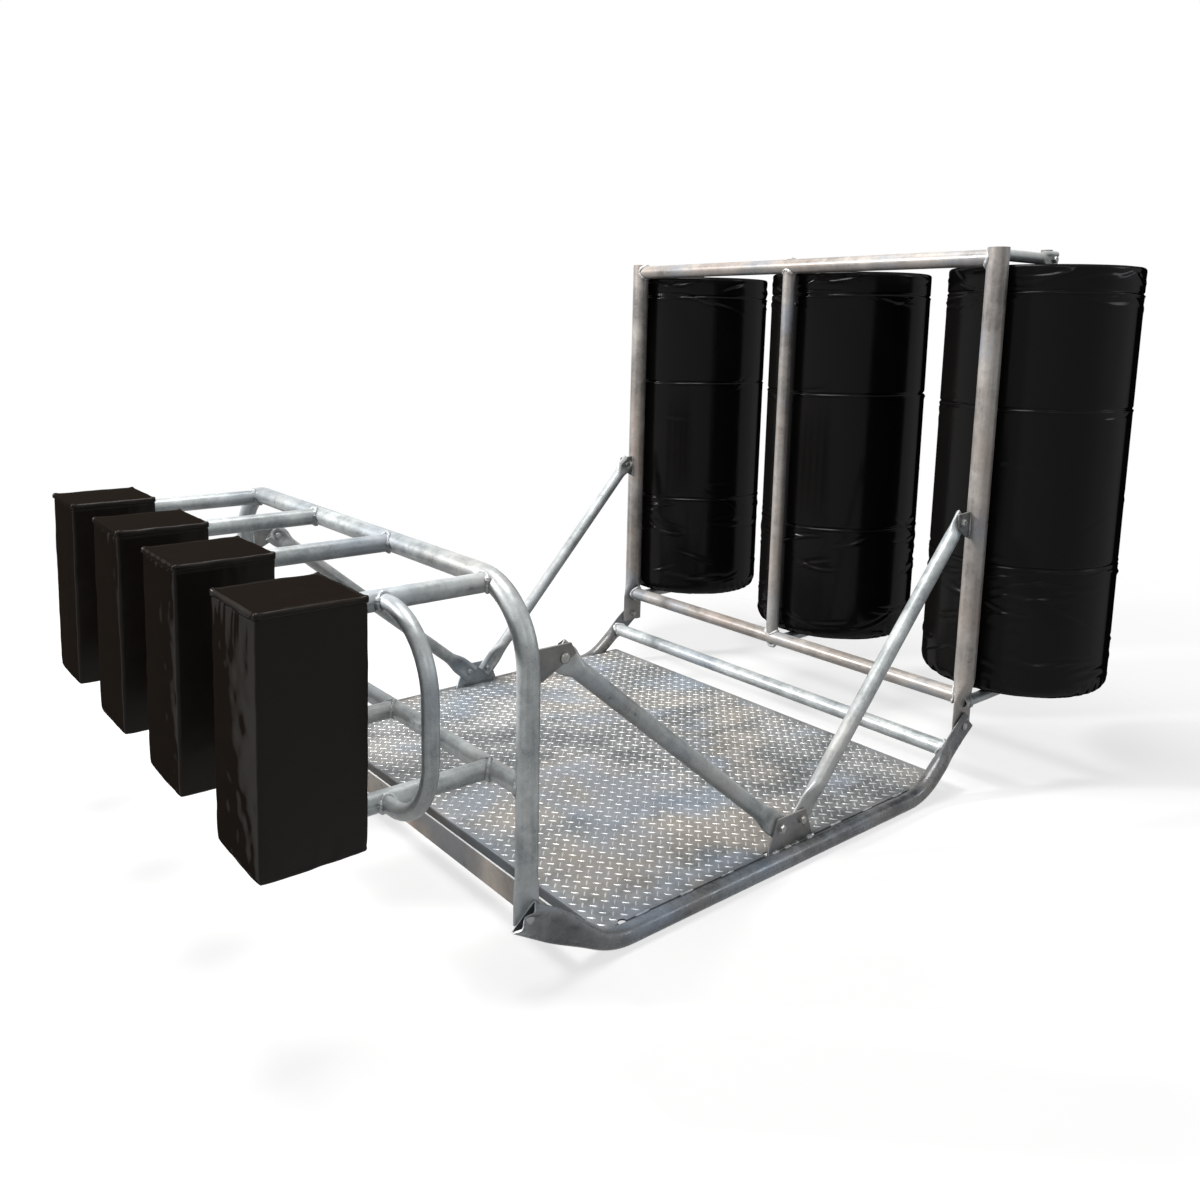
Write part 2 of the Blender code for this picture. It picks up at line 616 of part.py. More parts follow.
def build_pole(number, x, steel):
    """The tube that a bag is threaded on, with the collar that carries the bag."""
    low, high = BAG_ARM_BOTTOM_Z - POLE_EDGE, BAG_ARM_TOP_Z + POLE_EDGE
    pole = tube("bag_pole_%d" % number, straight((x, BAG_Y, low), (x, BAG_Y, high)),
                LIGHT_TUBE_D, steel, X_AXIS)
    top = BAG_BOTTOM_Z - SEAT
    inner = (LIGHT_TUBE_D - TUBE_WALL) / 2
    collar = turned("collar", [(top - COLLAR_T, COLLAR_D / 2, 0), (top, COLLAR_D / 2, 0)],
                    (x, BAG_Y, 0), (0, 0, 1), None, 24)
    hollow = turned("hollow", [(low, inner, 0), (high, inner, 0)], (x, BAG_Y, 0), (0, 0, 1),
                    None, 16)
    combine(collar, [hollow])
    combine(pole, [collar], "UNION")


def build_pads(vinyl):
    for number, x in enumerate(PAD_XS, 1):
        build_pad("scrum_pad_%d" % number, x, vinyl)


def build_pad(name, x, vinyl):
    """A foam block in a cover: crowned front, sides, top and bottom, and a flat back."""
    half = Vector((PAD_WIDTH, PAD_DEPTH, PAD_HEIGHT)) / 2
    centre = Vector((x, PAD_BACK_Y - half.y, PAD_TOP_Z - half.z))
    build = bmesh.new()
    bmesh.ops.create_cube(build, size=2.0)
    bmesh.ops.subdivide_edges(build, edges=build.edges, cuts=5, use_grid_fill=True)
    core = half - Vector((1, 1, 1)) * (PAD_CROWN + PAD_EDGE_RADIUS)
    for vert in build.verts:
        unit = [math.copysign(abs(c) ** 0.8, c) for c in vert.co]
        on_edge = [abs(u) > 0.999 for u in unit]
        push = Vector([math.copysign(1, u) if on else 0 for u, on in zip(unit, on_edge)])
        place = Vector([u * c for u, c in zip(unit, core)]) + push.normalized() * PAD_EDGE_RADIUS
        back = unit[1] > 0
        for axis in range(3):
            if on_edge[axis] and not (axis == 1 and back):
                others = [1 - unit[k] ** 2 for k in range(3) if k != axis]
                place[axis] += math.copysign(PAD_CROWN * others[0] * others[1], unit[axis])
        if back:
            place.y = half.y if on_edge[1] else place.y + PAD_CROWN * unit[1]
        vert.co = centre + place
    bmesh.ops.recalc_face_normals(build, faces=build.faces)
    mesh = bpy.data.meshes.new(name)
    build.to_mesh(mesh)
    build.free()
    mesh.materials.append(vinyl)
    made = bpy.data.objects.new(name, mesh)
    bpy.context.scene.collection.objects.link(made)


def bag_profile():
    """Radius and height steps up the outside of a bag, with its two seam grooves."""
    big = BAG_D / 2
    low, high = BAG_BOTTOM_Z, BAG_BOTTOM_Z + BAG_HEIGHT
    steps = []
    for k in range(4):
        angle = math.pi / 2 * k / 3
        steps.append((big - BAG_TAPER - BAG_BOTTOM_ROUND * (1 - math.sin(angle)),
                      low + BAG_BOTTOM_ROUND * (1 - math.cos(angle))))
    for third in (1, 2):
        seam = low + BAG_HEIGHT * third / 3
        steps.append((big, seam - BAG_HEIGHT / 6))
        steps.append((big - BAG_TAPER / 2, seam - BAG_SEAM_WIDTH))
        steps.append((big - BAG_TAPER / 2 - BAG_SEAM_DEPTH, seam))
        steps.append((big - BAG_TAPER / 2, seam + BAG_SEAM_WIDTH))
    steps.append((big, high - BAG_HEIGHT / 6))
    for k in range(3):
        angle = math.pi / 2 * k / 2
        steps.append((big - BAG_TAPER - BAG_TOP_ROUND * (1 - math.cos(angle)),
                      high - BAG_TOP_ROUND * (1 - math.sin(angle))))
    return steps


def build_bags(vinyl):
    bore = (LIGHT_TUBE_D / 2 + BAG_BORE_CLEARANCE) / math.cos(math.pi / TUBE_SIDES)
    for number, x, toward in bag_stations():
        profile = [(z, radius, 0) for radius, z in bag_profile()]
        bag = turned("ruck_bag_%d" % number, profile, (x + toward * POLE_SIDE, BAG_Y, 0),
                     (0, 0, 1), vinyl, BAG_SIDES)
        reach = (BAG_BOTTOM_Z - BAG_D, BAG_BOTTOM_Z + BAG_HEIGHT + BAG_D)
        core = turned("bore", [(reach[0], bore, 0), (reach[1], bore, 0)],
                      (x + toward * POLE_SIDE, BAG_Y, 0), (0, 0, 1), None, TUBE_SIDES)
        combine(bag, [core])


def build_bolts(zinc):
    for side in (-1, 1):
        word = side_name(side)
        outer, inner = RAIL_X + PINCH_T, POST_X - PINCH_T
        bolt("foot_bolt_front_" + word, side, HOOP_Y, FRONT_FOOT_Z, outer, inner, zinc)
        bolt("foot_bolt_rear_" + word, side, RUCK_Y, REAR_FOOT_Z, outer, inner, zinc)
        outer, inner = PLATE_X + BRACKET_T / 2, BRACE_X - PINCH_T
        front, rear = gusset_bolts()
        bolt("gusset_bolt_front_" + word, side, *front, outer, inner, zinc)
        bolt("gusset_bolt_rear_" + word, side, *rear, outer, inner, zinc)
        bolt("hoop_brace_bolt_" + word, side, HOOP_Y + HOOP_BRACKET_BOLT[0],
             HOOP_BRACKET_BOLT[1], outer, inner, zinc)
        bolt("ruck_brace_bolt_" + word, side, RUCK_Y - RUCK_BRACKET_BOLT[0],
             RUCK_BRACKET_BOLT[1], outer, inner, zinc)


def main():
    for old in list(bpy.data.objects):
        bpy.data.objects.remove(old)
    steel = material("galvanised_steel", (0.52, 0.54, 0.55), 0.42, 0.9)
    tread = material("galvanised_tread_plate", (0.47, 0.48, 0.48), 0.5, 0.9)
    vinyl = material("black_vinyl", (0.012, 0.012, 0.013), 0.38, 0.0)
    gloss = material("glossy_black_vinyl", (0.008, 0.008, 0.009), 0.2, 0.0)
    zinc = material("zinc_plated_bolts", (0.6, 0.61, 0.62), 0.35, 1.0)
    build_base(steel, tread)
    build_scrum_frame(steel)
    build_braces(steel)
    build_ruck_frame(steel)
    build_bag_mounts(steel)
    build_pads(vinyl)
    build_bags(gloss)
    build_bolts(zinc)


main()
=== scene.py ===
import math

import bmesh
import bpy
import numpy as np
from mathutils import Matrix, Vector, noise


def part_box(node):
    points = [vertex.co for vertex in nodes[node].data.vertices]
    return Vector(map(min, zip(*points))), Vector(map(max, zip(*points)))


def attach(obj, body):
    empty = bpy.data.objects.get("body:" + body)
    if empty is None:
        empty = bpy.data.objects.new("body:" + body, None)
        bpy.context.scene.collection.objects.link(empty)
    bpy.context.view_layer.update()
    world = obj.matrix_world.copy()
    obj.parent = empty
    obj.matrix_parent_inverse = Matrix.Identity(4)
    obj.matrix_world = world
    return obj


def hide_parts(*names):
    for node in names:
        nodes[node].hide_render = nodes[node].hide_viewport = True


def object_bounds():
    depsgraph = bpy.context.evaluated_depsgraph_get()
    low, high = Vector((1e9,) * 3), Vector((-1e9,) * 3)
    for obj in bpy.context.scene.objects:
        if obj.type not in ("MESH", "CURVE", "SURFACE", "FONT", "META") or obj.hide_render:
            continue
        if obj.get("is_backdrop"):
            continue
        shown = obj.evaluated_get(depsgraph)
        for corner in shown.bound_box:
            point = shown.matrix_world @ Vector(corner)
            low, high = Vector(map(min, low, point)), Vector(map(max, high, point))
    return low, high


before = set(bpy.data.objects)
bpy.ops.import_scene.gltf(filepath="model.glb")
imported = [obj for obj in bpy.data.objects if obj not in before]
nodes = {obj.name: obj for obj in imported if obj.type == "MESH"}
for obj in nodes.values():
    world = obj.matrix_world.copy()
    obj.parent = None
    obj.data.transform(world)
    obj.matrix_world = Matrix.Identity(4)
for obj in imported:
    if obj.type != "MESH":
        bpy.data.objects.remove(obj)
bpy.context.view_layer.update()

# %% [markdown]
# The main places come from the CAD nodes' own boxes, so that every new piece stands where its
# node stands. Tube sizes are those of common steel pipe, the same as in the CAD. An edge is the
# length past a bolt, a flat the length that is squashed, and a blend the length back to round.
# %% Sizes and places
def middle(node):
    low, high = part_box(node)
    return (low + high) / 2


MAIN_D, POST_D, BRACE_D, LIGHT_D = 0.0483, 0.0603, 0.0424, 0.0337
WALL = 0.0032
PINCH_GAP = 0.0015
PINCH_T = WALL + PINCH_GAP / 2
SEAT = 0.0003    # the gap the CAD leaves where two pieces are welded
FOOT_EDGE, FOOT_FLAT, FOOT_BLEND, NOSE_BLEND = 0.026, 0.092, 0.090, 0.170
BRACE_EDGE, BRACE_FLAT, BRACE_BLEND = 0.020, 0.062, 0.070
BRACE_HIGH_FLAT, BRACE_HIGH_BLEND = 0.034, 0.042
ARM_EDGE, ARM_FLAT, ARM_BLEND = 0.022, 0.052, 0.060

HOOP_Y = middle("scrum_hoop").y
RUCK_Y = middle("ruck_top_rail").y
BAG_Y = middle("bag_pole_2").y
RAIL_X = middle("skid_rail_right").x
POST_X = middle("ruck_post_right").x
BRACE_X = middle("front_brace_right").x
PLATE_X = middle("base_gusset_right").x
PLATE_T = 0.006
RAIL_Z = MAIN_D / 2
FRONT_FOOT_Z, REAR_FOOT_Z = 0.165, 0.187
FRONT_TURN, REAR_TURN, RAIL_RADIUS = math.radians(32), math.radians(38), 0.20
HOOP_TOP_Z, HOOP_RADIUS, MID_RAIL_Z = 0.858, 0.170, 0.443
PAD_XS = [middle("scrum_pad_%d" % k).x for k in (1, 2, 3, 4)]
PAD_BACK_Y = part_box("scrum_pad_1")[1].y
PAD_LEAN = 0.008    # how far a pad's bottom hangs forward
LOOP_Y = middle("side_loop_right").y
LOOP_REACH, LOOP_RADIUS = 0.183, 0.150
RUCK_TOP_Z, RUCK_BOTTOM_Z = middle("ruck_top_rail").z, middle("ruck_bottom_rail").z
POST_TOP_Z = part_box("ruck_post_right")[1].z
REAR_TUBE_Y, REAR_TUBE_Z = middle("rear_cross_tube").y, middle("rear_cross_tube").z
POLE_XS = [middle("ruck_bag_%d" % k).x for k in (1, 2, 3)]
ARM_XS = [-POST_X, 0.0, POST_X]
ARM_TOP_Z, ARM_LOW_Z = middle("bag_arm_top_2").z, middle("bag_arm_bottom_2").z
DECK_LOW, DECK_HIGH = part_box("deck_plate")
GUSSET_Y = middle("base_gusset_right").y
print("hoop at y %.4f, ruck frame at y %.4f, poles at y %.4f" % (HOOP_Y, RUCK_Y, BAG_Y))

# %% [markdown]
# The camera stands at the photograph's place: low, off the sled's right front corner, with a
# slight roll and a small shift, because the object sits above the middle of the picture.
# %% Camera
CAMERA_PLACE = (2.3164, -1.9916, 1.3754)
CAMERA_AZIMUTH, CAMERA_TILT, CAMERA_ROLL = (math.radians(a) for a in (51.4606, 9.1062, 0.9307))
FOCAL_PIXELS, CENTRE_X, CENTRE_Y, FRAME_PIXELS = 1020.69, 570.30, 487.59, 1200
SENSOR_MM = 36.0


def add_object(name, data):
    made = bpy.data.objects.new(name, data)
    bpy.context.scene.collection.objects.link(made)
    return made


def make_camera():
    data = bpy.data.cameras.new("camera")
    data.sensor_width = SENSOR_MM
    data.lens = FOCAL_PIXELS * SENSOR_MM / FRAME_PIXELS
    data.shift_x = (FRAME_PIXELS / 2 - CENTRE_X) / FRAME_PIXELS
    data.shift_y = (CENTRE_Y - FRAME_PIXELS / 2) / FRAME_PIXELS
    camera = add_object("camera", data)
    across = Vector((math.cos(CAMERA_AZIMUTH), math.sin(CAMERA_AZIMUTH), 0))
    forward = Vector((-math.sin(CAMERA_AZIMUTH) * math.cos(CAMERA_TILT),
                      math.cos(CAMERA_AZIMUTH) * math.cos(CAMERA_TILT), -math.sin(CAMERA_TILT)))
    up = across.cross(forward)
    right = across * math.cos(CAMERA_ROLL) + up * math.sin(CAMERA_ROLL)
    top = up * math.cos(CAMERA_ROLL) - across * math.sin(CAMERA_ROLL)
    turn = Matrix((right, top, -forward)).transposed()
    camera.matrix_world = Matrix.Translation(CAMERA_PLACE) @ turn.to_4x4()
    bpy.context.scene.camera = camera
    bpy.context.scene.view_settings.view_transform = "Standard"
    return camera


camera = make_camera()
print("lens %.1f mm, shift %.3f, %.3f" % (camera.data.lens, camera.data.shift_x, camera.data.shift_y))

# %% [markdown]
# A pale floor that melts into a white background far out, with four soft lamps: a broad one
# overhead, a strong one at the camera's left, and weak ones at its right and behind. The world's
# white shows to the camera and in reflections, and lights the object only weakly. Nodes are made
# by one helper, which sets a node's options and then feeds its inputs by name or number.
# %% Stage and light
def feed(tree, socket, value):
    """Links an output to the socket, or gives the socket a plain value. A colour gets its alpha."""
    if isinstance(value, bpy.types.NodeSocket):
        tree.links.new(value, socket)
    elif socket.type == "RGBA":
        socket.default_value = (*value[:3], 1)
    else:
        socket.default_value = value


def new_node(tree, kind, sockets=None, **options):
    made = tree.nodes.new(kind)
    for name, value in options.items():
        setattr(made, name, value)
    for name, value in (sockets or {}).items():
        feed(tree, made.inputs[name], value)
    return made


def math_node(tree, operation, first, second=None, clamp=False):
    values = {0: first} if second is None else {0: first, 1: second}
    return new_node(tree, "ShaderNodeMath", values, operation=operation, use_clamp=clamp).outputs[0]


WORLD_FILL = 0.09    # the world's strength as a light
FLOOR_RADIUS, FADE_START, FADE_END, FADE_LEAST = 14, 1.8, 4.4, 0.72


def make_world():
    world = bpy.data.worlds.new("studio")
    bpy.context.scene.world = world
    world.use_nodes = True
    tree = world.node_tree
    tree.nodes.clear()
    ray = new_node(tree, "ShaderNodeLightPath").outputs
    seen = math_node(tree, "MAXIMUM", ray["Is Camera Ray"], ray["Is Glossy Ray"])
    seen = math_node(tree, "MAXIMUM", seen, ray["Is Transmission Ray"])
    fill = new_node(tree, "ShaderNodeBackground", {"Color": (0.96, 0.98, 1.0), "Strength": WORLD_FILL})
    white = new_node(tree, "ShaderNodeBackground", {"Color": (1, 1, 1)})
    mix = new_node(tree, "ShaderNodeMixShader", {0: seen, 1: fill.outputs[0], 2: white.outputs[0]})
    new_node(tree, "ShaderNodeOutputWorld", {0: mix.outputs[0]})


def new_material(name):
    made = bpy.data.materials.new(name)
    made.use_nodes = True
    return made, made.node_tree, made.node_tree.nodes["Principled BSDF"]


def make_floor():
    bpy.ops.mesh.primitive_circle_add(vertices=96, radius=FLOOR_RADIUS, fill_type="NGON")
    floor = bpy.context.object
    floor.name = "floor"
    surface, tree, shader = new_material("pale_floor")
    for name, value in (("Base Color", (0.93, 0.93, 0.93)), ("Roughness", 0.9), ("Specular IOR Level", 0.0)):
        feed(tree, shader.inputs[name], value)
    place = new_node(tree, "ShaderNodeTexCoord").outputs["Object"]
    far = new_node(tree, "ShaderNodeVectorMath", {0: place}, operation="LENGTH").outputs["Value"]
    fade = new_node(tree, "ShaderNodeMapRange", {"Value": far, "From Min": FADE_START, "From Max": FADE_END,
                                                 "To Min": FADE_LEAST}, interpolation_type="SMOOTHSTEP")
    clear = new_node(tree, "ShaderNodeBsdfTransparent")
    mix = new_node(tree, "ShaderNodeMixShader", {0: fade.outputs[0], 1: shader.outputs[0],
                                                 2: clear.outputs[0]})
    feed(tree, tree.nodes["Material Output"].inputs[0], mix.outputs[0])
    floor.data.materials.append(surface)
    floor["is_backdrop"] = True


def make_lamp(name, place, target, size, power, tint):
    data = bpy.data.lights.new(name, "AREA")
    data.color = tint
    data.shape = "DISK"
    data.size = size
    data.energy = power
    lamp = add_object(name, data)
    lamp.location = place
    lamp.rotation_euler = (Vector(target) - Vector(place)).to_track_quat("-Z", "Y").to_euler()


make_world()
make_floor()
make_lamp("overhead", (-0.3, -0.7, 6.6), (0, 0, 0.3), 3.2, 440, (1.0, 0.985, 0.96))
make_lamp("front_left", (-5.0, -7.0, 5.2), (0, 0, 0.6), 1.1, 1050, (1.0, 0.985, 0.97))
make_lamp("front_right", (6.0, -3.2, 4.4), (0, 0, 0.6), 1.6, 40, (0.93, 0.97, 1.0))
make_lamp("rear_right", (3.6, 3.0, 2.6), (0, 0.6, 0.8), 1.2, 20, (0.9, 0.95, 1.0))
print("lamps", [lamp.name for lamp in bpy.data.lights], "and a world of strength", WORLD_FILL)

# %% [markdown]
# Galvanised steel is dull and cloudy: zinc crystals catch the light differently, and runs follow the
# tube. The undersides are painted darker, a painted shade set by how far each face turns down. One
# node group makes those masks. Its colours and strengths are inputs, so tubes, plates, tread plate
# and bolts use it each in their own way.
# %% The zinc group
def mix_colour(tree, factor, first, second, blend="MIX"):
    return new_node(tree, "ShaderNodeMix", {0: factor, 6: first, 7: second}, data_type="RGBA",
                    blend_type=blend).outputs[2]


def map_range(tree, value, low, high, to_low=0.0, to_high=1.0):
    limits = {"Value": value, "From Min": low, "From Max": high, "To Min": to_low, "To Max": to_high}
    return new_node(tree, "ShaderNodeMapRange", limits).outputs[0]


def noise_value(tree, place, scale, detail=3.0, rough=0.55):
    return new_node(tree, "ShaderNodeTexNoise", {"Vector": place, "Scale": scale, "Detail": detail,
                                                 "Roughness": rough}).outputs["Fac"]


def empty_group(name, kind, inputs, outputs):
    """A node group with sockets of (label, kind, value), its inner inputs and its inner outputs."""
    group = bpy.data.node_groups.new(name, kind)
    for direction, sockets in (("INPUT", inputs), ("OUTPUT", outputs)):
        for label, socket_kind, *value in sockets:
            made = group.interface.new_socket(name=label, in_out=direction,
                                              socket_type="NodeSocket" + socket_kind)
            if value:
                made.default_value = value[0]
    return group, new_node(group, "NodeGroupInput").outputs, new_node(group, "NodeGroupOutput").inputs


COAT_OUTPUTS = (("Colour", "Color"), ("Roughness", "Float"), ("Height", "Float"))
ZINC_INPUTS = (("Place", "Vector"), ("Along", "Vector"), ("Light Zinc", "Color", (0.60, 0.62, 0.64, 1)),
               ("Dark Zinc", "Color", (0.22, 0.24, 0.26, 1)), ("Warm Stain", "Color", (0.52, 0.45, 0.38, 1)),
               ("Cool Stain", "Color", (0.24, 0.29, 0.36, 1)), ("Stain", "Float", 0.35),
               ("Polish", "Float", 0.0))


def make_zinc_group():
    tree, enter, leave = empty_group("zinc coat", "ShaderNodeTree", ZINC_INPUTS, COAT_OUTPUTS)
    place = enter["Place"]
    clouds = noise_value(tree, place, 5.5, 4.0, 0.6)
    patches = noise_value(tree, place, 21.0, 3.0, 0.6)
    streaks = noise_value(tree, enter["Along"], 1.0, 4.0, 0.6)
    cells = new_node(tree, "ShaderNodeTexVoronoi", {"Vector": place, "Scale": 95.0}).outputs["Color"]
    crystal = new_node(tree, "ShaderNodeRGBToBW", {0: cells}).outputs[0]
    grain = noise_value(tree, place, 420.0, 2.0)
    tone = math_node(tree, "MULTIPLY", crystal, 0.12)
    for mask, low, high, share in ((clouds, 0.36, 0.64, 0.34), (patches, 0.32, 0.68, 0.18),
                                   (streaks, 0.34, 0.66, 0.22), (grain, 0.30, 0.70, 0.14)):
        part = math_node(tree, "MULTIPLY", map_range(tree, mask, low, high), share)
        tone = math_node(tree, "ADD", tone, part)
    tone = map_range(tree, tone, 0.24, 0.76)
    colour = mix_colour(tree, tone, enter["Dark Zinc"], enter["Light Zinc"])
    run = math_node(tree, "MULTIPLY", math_node(tree, "SUBTRACT", streaks, 0.5), 0.5)
    for label, scale, low, high in (("Warm Stain", 2.6, 0.48, 0.66), ("Cool Stain", 3.7, 0.52, 0.68)):
        patch = math_node(tree, "ADD", noise_value(tree, place, scale, 3.0, 0.5), run)
        stain = math_node(tree, "MULTIPLY", map_range(tree, patch, low, high), enter["Stain"], True)
        colour = mix_colour(tree, stain, colour, enter[label])
    # Painted shade: the colour darkens where a face turns down, by its normal.
    normal = new_node(tree, "ShaderNodeNewGeometry").outputs["Normal"]
    facing = new_node(tree, "ShaderNodeSeparateXYZ", {0: normal}).outputs["Z"]
    under = map_range(tree, facing, -0.9, 0.2, 0.6, 1.0)
    shade = new_node(tree, "ShaderNodeCombineColor", {0: under, 1: under, 2: under}).outputs[0]
    feed(tree, leave["Colour"], mix_colour(tree, 1.0, colour, shade, "MULTIPLY"))
    rough = math_node(tree, "ADD", map_range(tree, patches, 0.3, 0.7, 0.24, 0.42),
                      math_node(tree, "MULTIPLY", crystal, 0.08))
    feed(tree, leave["Roughness"], math_node(tree, "SUBTRACT", rough, enter["Polish"]))
    fine = math_node(tree, "MULTIPLY", noise_value(tree, place, 240.0, 2.0), 0.25)
    height = math_node(tree, "ADD", math_node(tree, "MULTIPLY", patches, 0.6), fine)
    feed(tree, leave["Height"], height)
    return tree


zinc_group = make_zinc_group()
print(zinc_group.name, "of", len(zinc_group.nodes), "nodes")

# %% [markdown]
# A coat material feeds one group's colour, roughness and height to a Principled shader. Its gloss
# falls where the surface turns away, as on a coat that is not clear, which keeps the white
# studio from washing out the edges. Steel adds the zinc group, with streaks along each tube.
# %% Steel finishes
def coat_material(name, group, values, gloss, metallic, bump):
    """gloss holds the most and the least of it, and where it starts and ends to fall.
    bump holds a strength and a depth."""
    made, tree, shader = new_material(name)
    feed(tree, shader.inputs["Metallic"], metallic)
    most, least, start, end = gloss
    turned_away = new_node(tree, "ShaderNodeLayerWeight", {"Blend": 0.5}).outputs["Facing"]
    feed(tree, shader.inputs["Specular IOR Level"], map_range(tree, turned_away, start, end, most, least))
    coords = new_node(tree, "ShaderNodeTexCoord").outputs
    coat = new_node(tree, "ShaderNodeGroup", node_tree=group)
    for label, value in (("Place", coords["Object"]), *values.items()):
        feed(tree, coat.inputs[label], value)
    lift = new_node(tree, "ShaderNodeBump", {"Strength": bump[0], "Distance": bump[1],
                                             "Height": coat.outputs["Height"]})
    for label, output in (("Base Color", coat.outputs["Colour"]), ("Roughness", coat.outputs["Roughness"]),
                          ("Normal", lift.outputs[0])):
        feed(tree, shader.inputs[label], output)
    return made, coords, coat


def steel_material(name, light, dark, warm, stain, metallic, streak_scale=(4, 4, 4), use_uv=False,
                   polish=0.0):
    values = {"Light Zinc": light, "Dark Zinc": dark, "Warm Stain": warm, "Stain": stain, "Polish": polish}
    made, coords, coat = coat_material(name, zinc_group, values, (0.42, 0.03, 0.3, 0.85), metallic,
                                       (0.6, 0.0012))
    source = coords["UV" if use_uv else "Object"]
    along = new_node(made.node_tree, "ShaderNodeMapping", {"Vector": source, "Scale": streak_scale})
    feed(made.node_tree, coat.inputs["Along"], along.outputs[0])
    return made


tube_steel = steel_material("galvanised_tube", (0.59, 0.625, 0.63), (0.225, 0.245, 0.255),
                            (0.34, 0.31, 0.27), 0.4, 0.24, (55, 2.2, 1), True)
frame_steel = steel_material("galvanised_ruck_tube", (0.45, 0.42, 0.395), (0.175, 0.163, 0.154),
                             (0.34, 0.27, 0.23), 0.6, 0.18, (55, 2.0, 1), True)
rail_steel = steel_material("galvanised_rail", (0.225, 0.235, 0.243), (0.055, 0.060, 0.066),
                            (0.17, 0.145, 0.12), 0.6, 0.22, (45, 2.0, 1), True, polish=0.10)
plate_steel = steel_material("galvanised_plate", (0.33, 0.33, 0.32), (0.10, 0.105, 0.105),
                             (0.25, 0.21, 0.175), 0.6, 0.08)
# The angle's brown-stained steel is lifted far lighter than plain steel, painted light for a face that lies
# in the pads' shade.
angle_steel_painted_light = steel_material("galvanised_angle", (0.74, 0.66, 0.58), (0.36, 0.33, 0.30),
                             (0.52, 0.38, 0.28), 0.6, 0.05, (1.5, 7, 7))
# Painted shade: near-black steel for the faces inside the angle and under the deck's edge.
painted_shade_steel = steel_material("dirty_recess", (0.085, 0.075, 0.062), (0.03, 0.027, 0.024),
                              (0.10, 0.08, 0.06), 0.5, 0.0)
tread_steel = steel_material("galvanised_tread", (0.285, 0.29, 0.288), (0.105, 0.112, 0.117),
                             (0.33, 0.29, 0.25), 0.55, 0.14, (6, 1.1, 4))
# The lozenges are worn lighter than the plate, and their colour is lifted further as a painted highlight.
crown_steel = steel_material("tread_crown", (0.80, 0.82, 0.825), (0.36, 0.375, 0.385),
                             (0.62, 0.56, 0.49), 0.5, 0.45, (6, 1.1, 4), polish=0.10)
weld_steel = steel_material("galvanised_weld", (0.76, 0.78, 0.78), (0.27, 0.29, 0.30),
                            (0.42, 0.36, 0.30), 0.5, 0.12, polish=0.06)
# Cut edges are bare steel, painted near white as a painted highlight.
cut_edge_highlight_steel = steel_material("cut_tube_edge", (0.92, 0.94, 0.94), (0.62, 0.64, 0.65),
                           (0.7, 0.66, 0.6), 0.3, 0.2)
bolt_zinc = steel_material("zinc_plated_bolt", (0.50, 0.51, 0.50), (0.20, 0.205, 0.205),
                           (0.36, 0.31, 0.22), 0.5, 0.35, polish=0.10)
print("finishes", [made.name for made in bpy.data.materials if made.node_tree])

# %% [markdown]
# Every tube is swept: a round section carried along its centre line. Where a tube ends at a bolt,
# the maker has squashed it flat in a press, so the section changes there from a circle to a thin
# loop whose two folds stay a little open. The same function makes rails, posts, braces and arms.
# %% Tube sweep
SIDES = 48            # points round a tube
ARC_STEPS = 16        # steps in a bend
PATH_STEP = 0.03      # the most between two sections
FLAT_MARKS = 22       # sections where a tube flattens
FOLD = 0.0034         # how far a pinched fold stands out
MOUTH_LENGTH = 0.060  # how far back a gaping mouth reaches
SLANT_LENGTH = 0.075  # how far back a slanted cut moves the tube


def smooth_step(value):
    value = np.clip(value, 0, 1)
    return value * value * (3 - 2 * value)


def rounded_path(corners, radius=0.0):
    """Points along a line whose inner corners are arcs, at most PATH_STEP apart."""
    corners = [np.array(c, float) for c in corners]
    path = [corners[0]]
    for before, corner, after in zip(corners, corners[1:], corners[2:]):
        into = (corner - before) / np.linalg.norm(corner - before)
        out = (after - corner) / np.linalg.norm(after - corner)
        turn = math.acos(np.clip(into @ out, -1, 1))
        start = corner - into * radius * math.tan(turn / 2)
        inward = out - into * (into @ out)
        inward /= np.linalg.norm(inward)
        for step in range(ARC_STEPS + 1):
            angle = turn * step / ARC_STEPS
            path.append(start + inward * radius * (1 - math.cos(angle))
                        + into * radius * math.sin(angle))
    path.append(corners[-1])
    dense = [path[0]]
    for a, b in zip(path, path[1:]):
        count = max(1, math.ceil(np.linalg.norm(b - a) / PATH_STEP))
        dense += [a + (b - a) * k / count for k in range(1, count + 1)]
    return np.array(dense)


def ring_faces(rings, sides):
    """Quads between neighbouring rings of points."""
    faces = []
    for ring in range(rings - 1):
        for k in range(sides):
            a, b = ring * sides + k, ring * sides + (k + 1) % sides
            faces.append((a, b, b + sides, a + sides))
    return faces


def mesh_from(name, verts, faces, surface, uv=None):
    mesh = bpy.data.meshes.new(name)
    mesh.from_pydata([tuple(map(float, v)) for v in verts], [], faces)
    if uv is not None:
        layer = mesh.uv_layers.new(name="along")
        layer.data.foreach_set("uv", np.array(uv, np.float32).ravel())
    mesh.shade_smooth()
    mesh.materials.append(surface)
    return add_object(name, mesh)


def refine_ends(points, flats):
    """Extra points where a tube flattens."""
    lengths = np.concatenate([[0], np.cumsum(np.linalg.norm(np.diff(points, axis=0), axis=1))])
    total = lengths[-1]
    marks = set(np.round(lengths, 6))
    for flat, from_end in zip(flats, (False, True)):
        if flat:
            for mark in np.linspace(0, flat[0] + flat[1], FLAT_MARKS):
                marks.add(round(total - mark if from_end else mark, 6))
    marks = np.array(sorted(marks))
    marks = marks[np.concatenate([[True], np.diff(marks) > 1e-4])]
    marks[-1] = total
    found = np.stack([np.interp(marks, lengths, points[:, k]) for k in range(3)], 1)
    return found, marks, total


